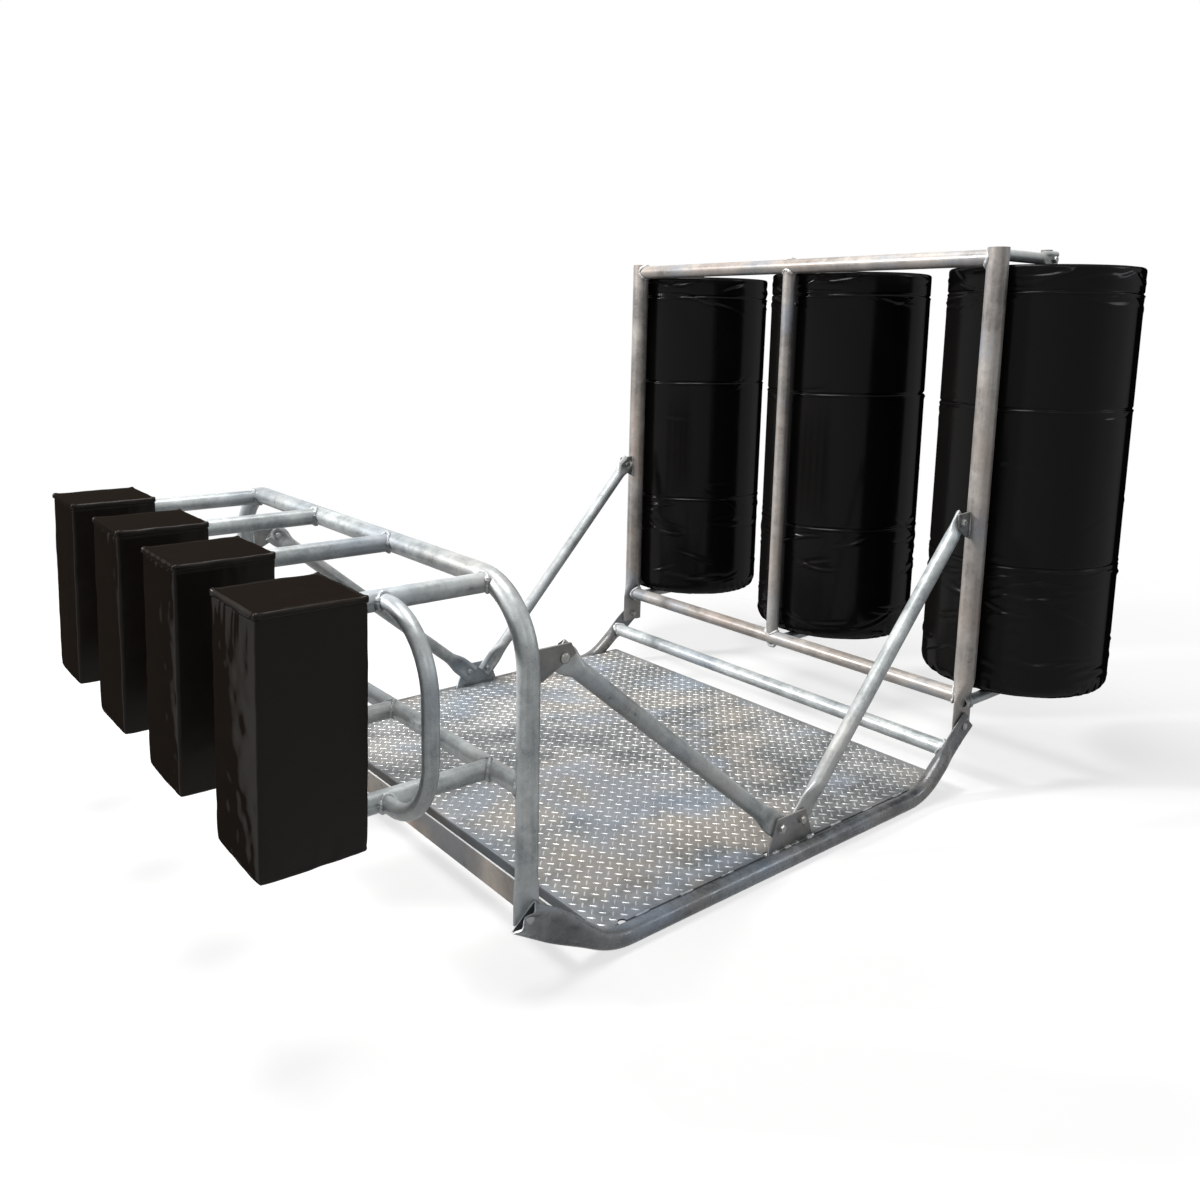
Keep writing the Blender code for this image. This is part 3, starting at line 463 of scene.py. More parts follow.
def tube(name, points, diameter, normal, flats=(None, None), in_plane=False, bulge=0, surface=None,
         mouths=(0.0, 0.0), slants=(0.0, 0.0), narrow=0.0):
    """A hollow tube along points. bulge says on which side (+1, -1) the pinched folds stand out,
    mouths how far the two lobes gape at each pinched end, and slants how much shorter one edge
    of that end is (the sign picks the edge)."""
    points, marks, total = refine_ends(points, flats)
    steps = np.diff(points, axis=0)
    steps /= np.linalg.norm(steps, axis=1)[:, None]
    tangents = np.vstack([steps[:1], steps[:-1] + steps[1:], steps[-1:]])
    tangents /= np.linalg.norm(tangents, axis=1)[:, None]
    thin = np.tile(np.array(normal, float), (len(points), 1))
    if in_plane:
        thin = np.cross(tangents, thin)
    wide = np.cross(tangents, thin)
    flatness = np.zeros(len(points))
    if flats[0]:
        flatness = np.maximum(flatness, smooth_step(1 - (marks - flats[0][0]) / flats[0][1]))
    if flats[1]:
        flatness = np.maximum(flatness, smooth_step(1 - (total - marks - flats[1][0]) / flats[1][1]))
    gape = np.zeros(len(points))
    for from_end, mouth in ((marks, mouths[0]), (total - marks, mouths[1])):
        gape += mouth * smooth_step(1 - from_end / MOUTH_LENGTH)
    angles = 2 * np.pi * np.arange(SIDES) / SIDES
    across, along = np.cos(angles), np.sin(angles)
    flank = np.sqrt(np.maximum(0, 1 - np.abs(along) ** 8)) * np.sign(np.round(across, 9))
    on_bulge = np.sign(np.round(across, 9)) == bulge
    fold = np.exp(-((np.abs(along) - 0.66) / 0.22) ** 2) * on_bulge
    lobe = (np.exp(-((np.abs(along) - 0.48) / 0.30) ** 2) + 0.14) * on_bulge
    shear = np.zeros((len(points), 1))
    for from_end, slant, inward in ((marks, slants[0], 1), (total - marks, slants[1], -1)):
        reach = np.clip(1 - from_end / SLANT_LENGTH, 0, 1)[:, None]
        shear = shear + reach * abs(slant) * inward * (1 + np.sign(slant) * along) / 2 * (slant != 0)
    half_wide = math.pi * (diameter - WALL) / 4 + WALL / 2 - narrow
    skins = []
    for radius, thick, width in ((diameter / 2, PINCH_T, half_wide),
                                 (diameter / 2 - WALL, PINCH_GAP / 2, half_wide - WALL)):
        f = flatness[:, None]
        u = (1 - f) * radius * across + f * (thick * flank + (FOLD * fold + gape[:, None] * lobe) * bulge)
        v = (1 - f) * radius * along + f * width * along
        skins.append(points[:, None] + thin[:, None] * u[..., None] + wide[:, None] * v[..., None]
                     + tangents[:, None] * shear[..., None])
    count = len(points)
    verts = np.concatenate([s.reshape(-1, 3) for s in skins])
    faces, uv = [], []
    girth = math.pi * diameter
    for skin in (0, 1):
        base = skin * count * SIDES
        for ring in range(count - 1):
            for k in range(SIDES):
                a, b = base + ring * SIDES + k, base + ring * SIDES + (k + 1) % SIDES
                c, d = b + SIDES, a + SIDES
                low, high = girth * k / SIDES, girth * (k + 1) / SIDES
                corner = [(low, marks[ring]), (high, marks[ring]),
                          (high, marks[ring + 1]), (low, marks[ring + 1])]
                faces.append((a, b, c, d) if skin == 0 else (d, c, b, a))
                uv += corner if skin == 0 else corner[::-1]
    for ring, flip in ((0, True), (count - 1, False)):
        for k in range(SIDES):
            n = (k + 1) % SIDES
            outer, inner = ring * SIDES, (count + ring) * SIDES
            quad = (outer + k, outer + n, inner + n, inner + k)
            faces.append(quad[::-1] if flip else quad)
            uv += [(0, marks[ring])] * 4
    made = mesh_from(name, verts, faces, surface or tube_steel, uv=uv)
    check = bmesh.new()
    check.from_mesh(made.data)
    if check.calc_volume(signed=True) < 0:
        bmesh.ops.reverse_faces(check, faces=check.faces)
        check.to_mesh(made.data)
    check.free()
    # The two end rings take the cut-edge steel with its painted highlight.
    made.data.materials.append(cut_edge_highlight_steel)
    lips = 2 * (count - 1) * SIDES
    made.data.polygons.foreach_set("material_index", [0] * lips + [1] * (2 * SIDES))
    made.data.set_sharp_from_angle(angle=0.9)
    return made


def stand_for(piece, node):
    """The piece rides, hides its node, and says how far its box is from the node's."""
    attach(piece, "sled")
    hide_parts(node)
    co = np.array([v.co for v in piece.data.vertices])
    low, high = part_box(node)
    gap = max(np.abs(co.min(0) - np.array(low)).max(), np.abs(co.max(0) - np.array(high)).max())
    if gap > 0.004:
        print("%s differs from its node by %.1f mm" % (node, gap * 1000))
    return piece


# %% [markdown]
# The skid rails lie flat on the ground and turn up at both ends, where they are squashed and
# bolted to the feet of the two frames. The frames' own feet are squashed the same way, inboard.
# %% Rails, frames and braces
FOOT, NOSE = (FOOT_FLAT, FOOT_BLEND), (FOOT_FLAT, NOSE_BLEND)
HOOP_FOOT = (0.058, 0.110)


def rail_points(side):
    x = side * RAIL_X
    front_corner = HOOP_Y + (FRONT_FOOT_Z - RAIL_Z) / math.tan(FRONT_TURN)
    rear_corner = RUCK_Y - (REAR_FOOT_Z - RAIL_Z) / math.tan(REAR_TURN)
    front = (x, HOOP_Y - FOOT_EDGE * math.cos(FRONT_TURN), FRONT_FOOT_Z + FOOT_EDGE * math.sin(FRONT_TURN))
    rear = (x, RUCK_Y + FOOT_EDGE * math.cos(REAR_TURN), REAR_FOOT_Z + FOOT_EDGE * math.sin(REAR_TURN))
    return rounded_path([front, (x, front_corner, RAIL_Z), (x, rear_corner, RAIL_Z), rear], RAIL_RADIUS)


def hoop_points():
    foot = FRONT_FOOT_Z - FOOT_EDGE
    corners = [(-POST_X, HOOP_Y, foot), (-POST_X, HOOP_Y, HOOP_TOP_Z),
               (POST_X, HOOP_Y, HOOP_TOP_Z), (POST_X, HOOP_Y, foot)]
    return rounded_path(corners, HOOP_RADIUS)


def upper_arm_z(x):
    past = abs(x) - (POST_X - HOOP_RADIUS)
    if past <= 0:
        return HOOP_TOP_Z
    return HOOP_TOP_Z - HOOP_RADIUS + math.sqrt(HOOP_RADIUS ** 2 - past ** 2) - past * 0.1


def loop_points(side):
    x, top = side * PAD_XS[-1], upper_arm_z(PAD_XS[-1])
    out = x + side * LOOP_REACH
    corners = [(x, LOOP_Y, top), (out, LOOP_Y, top), (out, LOOP_Y, MID_RAIL_Z), (x, LOOP_Y, MID_RAIL_Z)]
    return rounded_path(corners, LOOP_RADIUS)


def line(start, end):
    return rounded_path([start, end])


def side_name(side):
    return "right" if side > 0 else "left"


X_AXIS, Y_AXIS = (1, 0, 0), (0, 1, 0)
RAILS = {side: rail_points(side) for side in (-1, 1)}
HOOP = hoop_points()
MID_RAIL = line((-POST_X, HOOP_Y, MID_RAIL_Z), (POST_X, HOOP_Y, MID_RAIL_Z))
POSTS = {side: line((side * POST_X, RUCK_Y, REAR_FOOT_Z - FOOT_EDGE),
                    (side * POST_X, RUCK_Y, POST_TOP_Z)) for side in (-1, 1)}
for side in (-1, 1):
    word = side_name(side)
    stand_for(tube("rail_" + word, RAILS[side], MAIN_D, X_AXIS, (NOSE, FOOT), bulge=side,
                   surface=rail_steel, mouths=(0.0112, 0.004), slants=(-0.022, 0.0)),
              "skid_rail_" + word)
    stand_for(tube("post_" + word, POSTS[side], POST_D, X_AXIS, (FOOT, None), bulge=-side,
                   surface=frame_steel), "ruck_post_" + word)
    stand_for(tube("loop_" + word, loop_points(side), LIGHT_D, Y_AXIS), "side_loop_" + word)
stand_for(tube("hoop", HOOP, MAIN_D, Y_AXIS, (HOOP_FOOT, HOOP_FOOT), in_plane=True,
               slants=(0.018, 0.018), narrow=0.0045), "scrum_hoop")
stand_for(tube("mid_rail", MID_RAIL, BRACE_D, Y_AXIS), "scrum_mid_rail")
print("rails of", len(RAILS[1]), "points, hoop of", len(HOOP))

# %% [markdown]
# The arms and cross rails are plain tubes. Eight arms run forward from the scrum frame to the
# pads, and six run back from the ruck frame to the bags, squashed where a bolt holds the pole.
# %% Scrum arms and ruck rails
UPPER_ARMS = [line((x, PAD_BACK_Y + SEAT, upper_arm_z(x)), (x, HOOP_Y, upper_arm_z(x)))
              for x in PAD_XS]
LOWER_ARMS = [line((x, PAD_BACK_Y + SEAT - PAD_LEAN, MID_RAIL_Z), (x, HOOP_Y, MID_RAIL_Z))
              for x in PAD_XS]
for number, pair in enumerate(zip(UPPER_ARMS, LOWER_ARMS), 1):
    for word, arm in zip(("upper", "lower"), pair):
        stand_for(tube("arm_%s_%d" % (word, number), arm, BRACE_D, X_AXIS),
                  "scrum_arm_%s_%d" % (word, number))
TOP_RAIL = line((-POST_X, RUCK_Y, RUCK_TOP_Z), (POST_X, RUCK_Y, RUCK_TOP_Z))
BOTTOM_RAIL = line((-POST_X, RUCK_Y, RUCK_BOTTOM_Z), (POST_X, RUCK_Y, RUCK_BOTTOM_Z))
MID_POST = line((0, RUCK_Y, RUCK_BOTTOM_Z), (0, RUCK_Y, RUCK_TOP_Z))
REAR_TUBE = line((-RAIL_X, REAR_TUBE_Y, REAR_TUBE_Z), (RAIL_X, REAR_TUBE_Y, REAR_TUBE_Z))
stand_for(tube("top_rail", TOP_RAIL, MAIN_D, Y_AXIS, surface=frame_steel), "ruck_top_rail")
stand_for(tube("bottom_rail", BOTTOM_RAIL, MAIN_D, Y_AXIS, surface=frame_steel), "ruck_bottom_rail")
stand_for(tube("mid_post", MID_POST, BRACE_D, X_AXIS, surface=frame_steel), "ruck_mid_post")
stand_for(tube("rear_tube", REAR_TUBE, MAIN_D, Y_AXIS), "rear_cross_tube")
BAG_ARMS = {}
for number, x in enumerate(ARM_XS, 1):
    for word, z in (("top", ARM_TOP_Z), ("bottom", ARM_LOW_Z)):
        path = line((x, RUCK_Y, z), (x, BAG_Y + ARM_EDGE, z))
        BAG_ARMS[word, number] = path
        toward = -1 if POLE_XS[number - 1] > x else 1
        stand_for(tube("bag_arm_%s_%d.fine" % (word, number), path, LIGHT_D, X_AXIS,
                       (None, (ARM_FLAT, ARM_BLEND)), bulge=toward), "bag_arm_%s_%d" % (word, number))
print(len(UPPER_ARMS + LOWER_ARMS), "scrum arms and", len(BAG_ARMS), "bag arms")

# %% [markdown]
# Four braces lean from the gussets to the two frames. The places of their bolts set their slope,
# and both ends are squashed, the upper end over a shorter length.
# %% Braces
BRACE_BOLTS = {word: [tuple(middle(bolt % "right"))[1:] for bolt in bolts]
               for word, bolts in (("front", ("gusset_bolt_front_%s", "hoop_brace_bolt_%s")),
                                   ("rear", ("gusset_bolt_rear_%s", "ruck_brace_bolt_%s")))}


def brace_points(side, low, high):
    start, end = np.array((side * BRACE_X, *low)), np.array((side * BRACE_X, *high))
    past = (end - start) / np.linalg.norm(end - start) * BRACE_EDGE
    return line(start - past, end + past)


for side in (-1, 1):
    for word, (low, high) in BRACE_BOLTS.items():
        node = "%s_brace_%s" % (word, side_name(side))
        stand_for(tube(node + ".fine", brace_points(side, low, high), BRACE_D, X_AXIS,
                       ((BRACE_FLAT, BRACE_BLEND), (BRACE_HIGH_FLAT, BRACE_HIGH_BLEND)),
                       bulge=-side, mouths=(0.003, 0.006)), node)
print("brace bolts at", {word: np.round(bolts, 3).tolist() for word, bolts in BRACE_BOLTS.items()})

# %% [markdown]
# Brackets, gussets, the cross angle, the bag poles and the deck keep their CAD shapes, with welded
# corners eased by a small bevel. Their loose triangles are joined first, by a Weld modifier. The
# far gusset gets the lighter tube steel, painted light on a face that the lamps light less. Inside
# the angle and under the deck's edge the steel is painted near black as painted shade, and the
# angle's top edge is painted bright as a painted highlight.
# %% Finishes of the CAD pieces that stay
def ease(node, surface, bevel=0.0010):
    piece = nodes[node]
    piece.data.materials.clear()
    piece.data.materials.append(surface)
    join = piece.modifiers.new("join", "WELD")
    join.merge_threshold = 1e-5
    if bevel:
        round_off = piece.modifiers.new("ease", "BEVEL")
        round_off.width = bevel
        round_off.segments = 2
        round_off.limit_method = "ANGLE"
        round_off.angle_limit = math.radians(40)


for name in ("base_gusset", "hoop_bracket", "ruck_bracket"):
    for side in (-1, 1):
        # Painted light: the far, left gusset takes the lighter tube steel, as its face gets less lamp light.
        painted_light_gusset = name == "base_gusset" and side < 0
        ease("%s_%s" % (name, side_name(side)), tube_steel if painted_light_gusset else plate_steel)
ease("front_cross_angle", angle_steel_painted_light, 0.0008)
angle_mesh = nodes["front_cross_angle"].data
angle_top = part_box("front_cross_angle")[1].z
# Painted shade on the angle's inner faces, and a painted highlight on its top edge.
for surface in (painted_shade_steel, cut_edge_highlight_steel):
    angle_mesh.materials.append(surface)
for face in angle_mesh.polygons:
    on_top = face.normal.z > 0.5 and face.center.z > angle_top - 0.001
    face.material_index = 2 if on_top else int(face.normal.y > 0.5 or face.normal.z > 0.5)
ease("deck_plate", tread_steel, 0.0)
deck_mesh = nodes["deck_plate"].data
# Painted shade on the deck's folded edge.
deck_mesh.materials.append(painted_shade_steel)
for face in deck_mesh.polygons:
    face.material_index = int(abs(face.normal.z) < 0.5 and face.center.z < DECK_HIGH.z - 0.005)
for number in (1, 2, 3):
    ease("bag_pole_%d" % number, plate_steel, 0.0)
print("angle of", len(angle_mesh.polygons), "faces, deck of", len(deck_mesh.polygons))

# %% [markdown]
# The deck is tread plate: small lozenges stand on it in two directions. The lozenges of one
# direction form a square grid, and those of the other fill the middles. Geometry Nodes place one
# low lozenge mesh on each point, turned by an attribute.
# %% Tread lozenges
LOZENGE_PITCH, LOZENGE_LENGTH, LOZENGE_WIDTH, LOZENGE_HEIGHT = 0.0346, 0.0230, 0.0056, 0.0016
LOZENGE_SIDES = 12
DECK_MARGIN = 0.004       # no lozenge stands nearer to the deck's edge
NOTCH_HALF_Y, NOTCH_X = 0.0975, PLATE_X - PLATE_T / 2 - 0.006
DRAIN_Y, DRAIN_R = DECK_LOW.y + 0.062, 0.012


def lozenge_mesh():
    """A low rounded bar, pointed at both ends, open underneath."""
    ring = []
    for k in range(LOZENGE_SIDES):
        angle = 2 * math.pi * k / LOZENGE_SIDES
        ring.append((math.cos(angle), math.copysign(abs(math.sin(angle)) ** 1.25, math.sin(angle))))
    verts = []
    for scale, height in ((1.0, 0.0), (0.80, 0.60), (0.42, 1.0)):
        shorter = 1 - (1 - scale) * 0.45
        verts += [(x * LOZENGE_LENGTH / 2 * shorter, y * LOZENGE_WIDTH / 2 * scale,
                   height * LOZENGE_HEIGHT) for x, y in ring]
    faces = ring_faces(3, LOZENGE_SIDES)
    faces.append(tuple(range(2 * LOZENGE_SIDES, 3 * LOZENGE_SIDES)))
    piece = mesh_from("lozenge", verts, faces, tread_steel)
    piece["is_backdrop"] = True
    return piece


def lozenge_places():
    places, alongs = [], []
    half = LOZENGE_LENGTH * 0.36
    columns = int((DECK_HIGH.x - DECK_MARGIN) / LOZENGE_PITCH) + 1
    rows = int((DECK_HIGH.y - DECK_LOW.y) / LOZENGE_PITCH) + 1
    for odd in (0, 1):
        for i in range(-columns, columns + 1):
            for j in range(rows + 1):
                x = (i + odd / 2) * LOZENGE_PITCH
                y = DECK_LOW.y + (j + 0.4 + odd / 2) * LOZENGE_PITCH
                past_side = abs(x) + half > DECK_HIGH.x - DECK_MARGIN
                past_front = y - half < DECK_LOW.y + DECK_MARGIN
                past_back = y + half > DECK_HIGH.y - DECK_MARGIN
                in_notch = abs(x) + half > NOTCH_X and abs(y - GUSSET_Y) < NOTCH_HALF_Y + half
                in_drain = math.hypot(abs(x) - DECK_HIGH.x, y - DRAIN_Y) < DRAIN_R + half
                if past_side or past_front or past_back or in_notch or in_drain:
                    continue
                places.append((x, y, DECK_HIGH.z - 0.0001))
                alongs.append((1, 1 - 2 * odd, 0))
    return places, alongs


def geometry_group(name, inputs):
    shape = (("Geometry", "Geometry"),)
    return empty_group(name, "GeometryNodeTree", shape + inputs, shape)


def finish_tree(group, leave, shape, finish):
    dressed = new_node(group, "GeometryNodeSetMaterial", {"Geometry": shape, "Material": finish})
    feed(group, leave[0], dressed.outputs[0])
    return group


def read_vector(group, name):
    return new_node(group, "GeometryNodeInputNamedAttribute", {"Name": name},
                    data_type="FLOAT_VECTOR").outputs["Attribute"]


def make_scatter_group():
    """Puts one piece on every point, its Z along the attribute aim and its X along the other."""
    group, enter, leave = geometry_group("one on each point", (("Piece", "Object"), ("Finish", "Material")))
    piece = new_node(group, "GeometryNodeObjectInfo", {"Object": enter["Piece"]}, transform_space="ORIGINAL")
    aim = new_node(group, "FunctionNodeAlignRotationToVector", {"Vector": read_vector(group, "aim")},
                   axis="Z")
    spin = new_node(group, "FunctionNodeAlignRotationToVector",
                    {"Rotation": aim.outputs[0], "Vector": read_vector(group, "along")},
                    axis="X", pivot_axis="Z")
    points = new_node(group, "GeometryNodeInstanceOnPoints",
                      {"Points": enter["Geometry"], "Instance": piece.outputs["Geometry"],
                       "Rotation": spin.outputs[0]})
    real = new_node(group, "GeometryNodeRealizeInstances", {0: points.outputs[0]})
    return finish_tree(group, leave, real.outputs[0], enter["Finish"])


scatter_group = make_scatter_group()


def run_tree(piece, group, values):
    """Give the piece the tree with its inputs, then turn the result into a plain mesh."""
    step = piece.modifiers.new("tree", "NODES")
    step.node_group = group
    for item in group.interface.items_tree:
        if item.in_out == "INPUT" and item.name in values:
            step[item.identifier] = values[item.name]
    graph = bpy.context.evaluated_depsgraph_get()
    graph.update()
    result = bpy.data.meshes.new_from_object(piece.evaluated_get(graph))
    piece.modifiers.clear()
    piece.data = result
    result.name = piece.name
    return piece


def scatter(name, piece, places, aims, alongs, surface, slot):
    mesh = bpy.data.meshes.new(name)
    mesh.from_pydata([tuple(map(float, p)) for p in places], [], [])
    for label, vectors in (("aim", aims), ("along", alongs)):
        layer = mesh.attributes.new(label, "FLOAT_VECTOR", "POINT")
        layer.data.foreach_set("vector", np.array(vectors, np.float32).ravel())
    made = add_object(name, mesh)
    run_tree(made, scatter_group, {"Piece": piece, "Finish": surface})
    made.data.shade_smooth()
    made.data.set_sharp_from_angle(angle=0.7)
    return made


lozenge = lozenge_mesh()
places, alongs = lozenge_places()
lozenges = scatter("tread_lozenges", lozenge, places, [(0, 0, 1)] * len(places), alongs, crown_steel,
                   "galvanised_tread_plate")
bpy.data.objects.remove(lozenge)
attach(lozenges, "sled")
print(len(places), "lozenges,", len(lozenges.data.polygons), "faces")

# %% [markdown]
# Arms, loops and rails are joined by weld beads. Each bead follows the line where one tube meets
# the skin of the other, which is found by stepping along the tube until the other's skin is
# reached.
# %% Weld lines
def distance_to(points, host):
    """Distance of each point from a line of points, and the nearest place on it."""
    best = np.full(len(points), 1e9)
    nearest = np.zeros_like(points)
    for a, b in zip(host, host[1:]):
        step = b - a
        share = np.clip(((points - a) @ step) / (step @ step), 0, 1)
        foot = a + share[:, None] * step
        gap = np.linalg.norm(points - foot, axis=1)
        closer = gap < best
        best[closer], nearest[closer] = gap[closer], foot[closer]
    return best, nearest


BEAD_POINTS, BEAD_TRIES, SET_BACK, BEAD_LIFT = 72, 60, 0.12, 0.0004


def meeting_line(end, toward, radius, host, host_radius):
    """The closed line where a round tube that runs toward end meets the host tube's skin."""
    end, toward = np.array(end, float), np.array(toward, float)
    toward /= np.linalg.norm(toward)
    helper = np.array((0, 0, 1.0)) if abs(toward[2]) < 0.9 else np.array((1.0, 0, 0))
    first = np.cross(toward, helper)
    first /= np.linalg.norm(first)
    second = np.cross(toward, first)
    angles = 2 * np.pi * np.arange(BEAD_POINTS) / BEAD_POINTS
    spoke = np.cos(angles)[:, None] * first + np.sin(angles)[:, None] * second
    start = end - toward * SET_BACK + spoke * radius
    gone = np.zeros(BEAD_POINTS)
    for _ in range(BEAD_TRIES):
        gap, nearest = distance_to(start + gone[:, None] * toward, host)
        gone = np.minimum(gone + np.maximum(gap - host_radius, 0) * 0.98, SET_BACK)
    points = start + gone[:, None] * toward
    gap, nearest = distance_to(points, host)
    out = (points - nearest) / gap[:, None] + spoke
    out /= np.linalg.norm(out, axis=1)[:, None]
    return points + out * BEAD_LIFT


beads = []
for arms, host, host_d in ((UPPER_ARMS, HOOP, MAIN_D), (LOWER_ARMS, MID_RAIL, BRACE_D)):
    for arm in arms:
        beads.append(meeting_line(arm[-1], arm[-1] - arm[0], BRACE_D / 2, host, host_d / 2))
for side in (-1, 1):
    joints = [((side * POST_X, HOOP_Y, MID_RAIL_Z), side, BRACE_D, HOOP, MAIN_D)]
    for z in (RUCK_TOP_Z, RUCK_BOTTOM_Z):
        joints.append(((side * POST_X, RUCK_Y, z), side, MAIN_D, POSTS[side], POST_D))
    for arms in (UPPER_ARMS, LOWER_ARMS):
        arm = arms[-1 if side > 0 else 0]
        joints.append(((arm[0][0], LOOP_Y, arm[0][2]), -side, LIGHT_D, arm, BRACE_D))
    joints.append(((side * RAIL_X, REAR_TUBE_Y, REAR_TUBE_Z), side, MAIN_D, RAILS[side], MAIN_D))
    for end, way, tube_d, host, host_d in joints:
        beads.append(meeting_line(end, (way, 0, 0), tube_d / 2, host, host_d / 2))
for z, way, host in ((RUCK_TOP_Z, 1, TOP_RAIL), (RUCK_BOTTOM_Z, -1, BOTTOM_RAIL)):
    beads.append(meeting_line((0, RUCK_Y, z), (0, 0, way), BRACE_D / 2, host, MAIN_D / 2))
ARM_HOSTS = {("top", 2): (TOP_RAIL, MAIN_D), ("bottom", 2): (MID_POST, BRACE_D)}
for (word, number), arm in BAG_ARMS.items():
    host, host_d = ARM_HOSTS.get((word, number), (POSTS[-1 if number == 1 else 1], POST_D))
    beads.append(meeting_line(arm[0], (0, -1, 0), LIGHT_D / 2, host, host_d / 2))
print(len(beads), "weld lines")

# %% [markdown]
# A bead is a row of frozen ripples. The tree resamples each line, lets the radius rise along each
# ripple and waver with noise, and sweeps a round section along the line.
# %% Weld beads
def make_bead_group():
    """Sweeps a rippled round bead along every line of a mesh of edges."""
    group, enter, leave = geometry_group(
        "weld bead", (("Bead Radius", "Float"), ("Ripple Length", "Float"), ("Ripple Depth", "Float"),
                      ("Finish", "Material")))
    curve = new_node(group, "GeometryNodeMeshToCurve", {0: enter["Geometry"]})
    even = new_node(group, "GeometryNodeResampleCurve", {"Curve": curve.outputs[0], "Length": 0.0011},
                    mode="LENGTH")
    length = new_node(group, "GeometryNodeSplineParameter").outputs["Length"]
    beat = math_node(group, "FRACT", math_node(group, "DIVIDE", length, enter["Ripple Length"]))
    place = new_node(group, "GeometryNodeInputPosition").outputs[0]
    uneven = map_range(group, noise_value(group, place, 34.0, 3.0, 0.5), 0.36, 0.64, 0.30, 1.45)
    swell = math_node(group, "ADD", math_node(group, "MULTIPLY", beat, enter["Ripple Depth"]), uneven)
    radius = math_node(group, "MULTIPLY", swell, enter["Bead Radius"])
    sized = new_node(group, "GeometryNodeSetCurveRadius", {"Curve": even.outputs[0], "Radius": radius})
    ring = new_node(group, "GeometryNodeCurvePrimitiveCircle", {"Resolution": 8, "Radius": 1.0})
    sweep = new_node(group, "GeometryNodeCurveToMesh", {"Curve": sized.outputs[0],
                                                        "Profile Curve": ring.outputs[0], "Fill Caps": True})
    if "Scale" in sweep.inputs:
        feed(group, sweep.inputs["Scale"], new_node(group, "GeometryNodeInputRadius").outputs[0])
    return finish_tree(group, leave, sweep.outputs[0], enter["Finish"])


bead_group = make_bead_group()


def make_beads(name, lines, radius, closed=True):
    verts, edges = [], []
    for points in lines:
        first = len(verts)
        verts += [tuple(map(float, p)) for p in points]
        edges += [(first + k, first + k + 1) for k in range(len(points) - 1)]
        if closed:
            edges.append((len(verts) - 1, first))
    mesh = bpy.data.meshes.new(name)
    mesh.from_pydata(verts, edges, [])
    made = add_object(name, mesh)
    run_tree(made, bead_group, {"Bead Radius": radius, "Ripple Length": 0.0042, "Ripple Depth": 0.22,
                                "Finish": weld_steel})
    made.data.shade_smooth()
    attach(made, "sled")
    print(name, len(made.data.polygons), "faces")
    return made


make_beads("weld_beads", beads, 0.0048)

# %% [markdown]
# Straight welds hold the gussets to the rails, the brackets to their posts, and the deck, which
# is only stitched to the rails in short runs. Four heavy stitches more hold each gusset's outer face.
# A welder's hand isn't steady, so smooth noise moves each point.
# %% Straight welds
RUN_STEP, GUSSET_HALF_Y = 0.004, 0.0875
SEAM_RUNS, SEAM_FIRST, SEAM_PITCH, SEAM_HALF, SEAM_SKIP = 9, 0.12, 0.142, 0.02, 0.12
STITCH_YS, STITCH_HALF = (-0.066, -0.018, 0.024, 0.070), 0.011


def field(points, scale, seed, octaves=2):
    """Smooth noise, about -1 to 1, at each point."""
    offset = Vector((seed * 7.31, seed * 3.77, seed * 5.13))
    return np.array([noise.fractal(Vector(p) * scale + offset, 1.0, 2.0, octaves) for p in points])


def run_between(a, b, wander=0.0006):
    """Points some 4 mm apart from a to b, each a little off the straight line."""
    a, b = np.array(a, float), np.array(b, float)
    count = max(2, int(np.linalg.norm(b - a) / RUN_STEP))
    points = a + (b - a) * np.linspace(0, 1, count + 1)[:, None]
    return points + wander * np.stack([field(points, 45, seed, 1) for seed in (1, 2, 3)], 1)


runs, lumps = [], []
for side in (-1, 1):
    faces_x = [(face, side * PLATE_X + face * PLATE_T / 2) for face in (-1, 1)]
    for face, x in faces_x:
        over = abs(x) - RAIL_X
        z = RAIL_Z + math.sqrt((MAIN_D / 2) ** 2 - over ** 2)
        runs.append(run_between((x, GUSSET_Y - GUSSET_HALF_Y, z), (x, GUSSET_Y + GUSSET_HALF_Y, z)))
        if face == side:
            for y in STITCH_YS:
                start = (x + face * 0.002, GUSSET_Y + y - STITCH_HALF, z - 0.001)
                end = (start[0], start[1] + 2 * STITCH_HALF, start[2])
                lumps.append(run_between(start, end, 0.0016))
    for word, frame_y, frame_d, way in (("hoop", HOOP_Y, MAIN_D, 1), ("ruck", RUCK_Y, POST_D, -1)):
        low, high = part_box("%s_bracket_%s" % (word, side_name(side)))
        edge_y = frame_y + way * math.sqrt((frame_d / 2) ** 2 - (POST_X - PLATE_X) ** 2)
        for face, x in faces_x:
            runs.append(run_between((x, edge_y, low.z + 0.002), (x, edge_y, high.z - 0.002)))
    x, z = side * (DECK_HIGH.x + 0.0005), DECK_HIGH.z - 0.001
    for k in range(SEAM_RUNS):
        y = DECK_LOW.y + SEAM_FIRST + k * SEAM_PITCH
        if abs(y - GUSSET_Y) > SEAM_SKIP:
            runs.append(run_between((x, y - SEAM_HALF, z), (x, y + SEAM_HALF, z)))
make_beads("straight_welds", runs, 0.0027, closed=False)
make_beads("gusset_stitch_welds", lumps, 0.0078, closed=False)

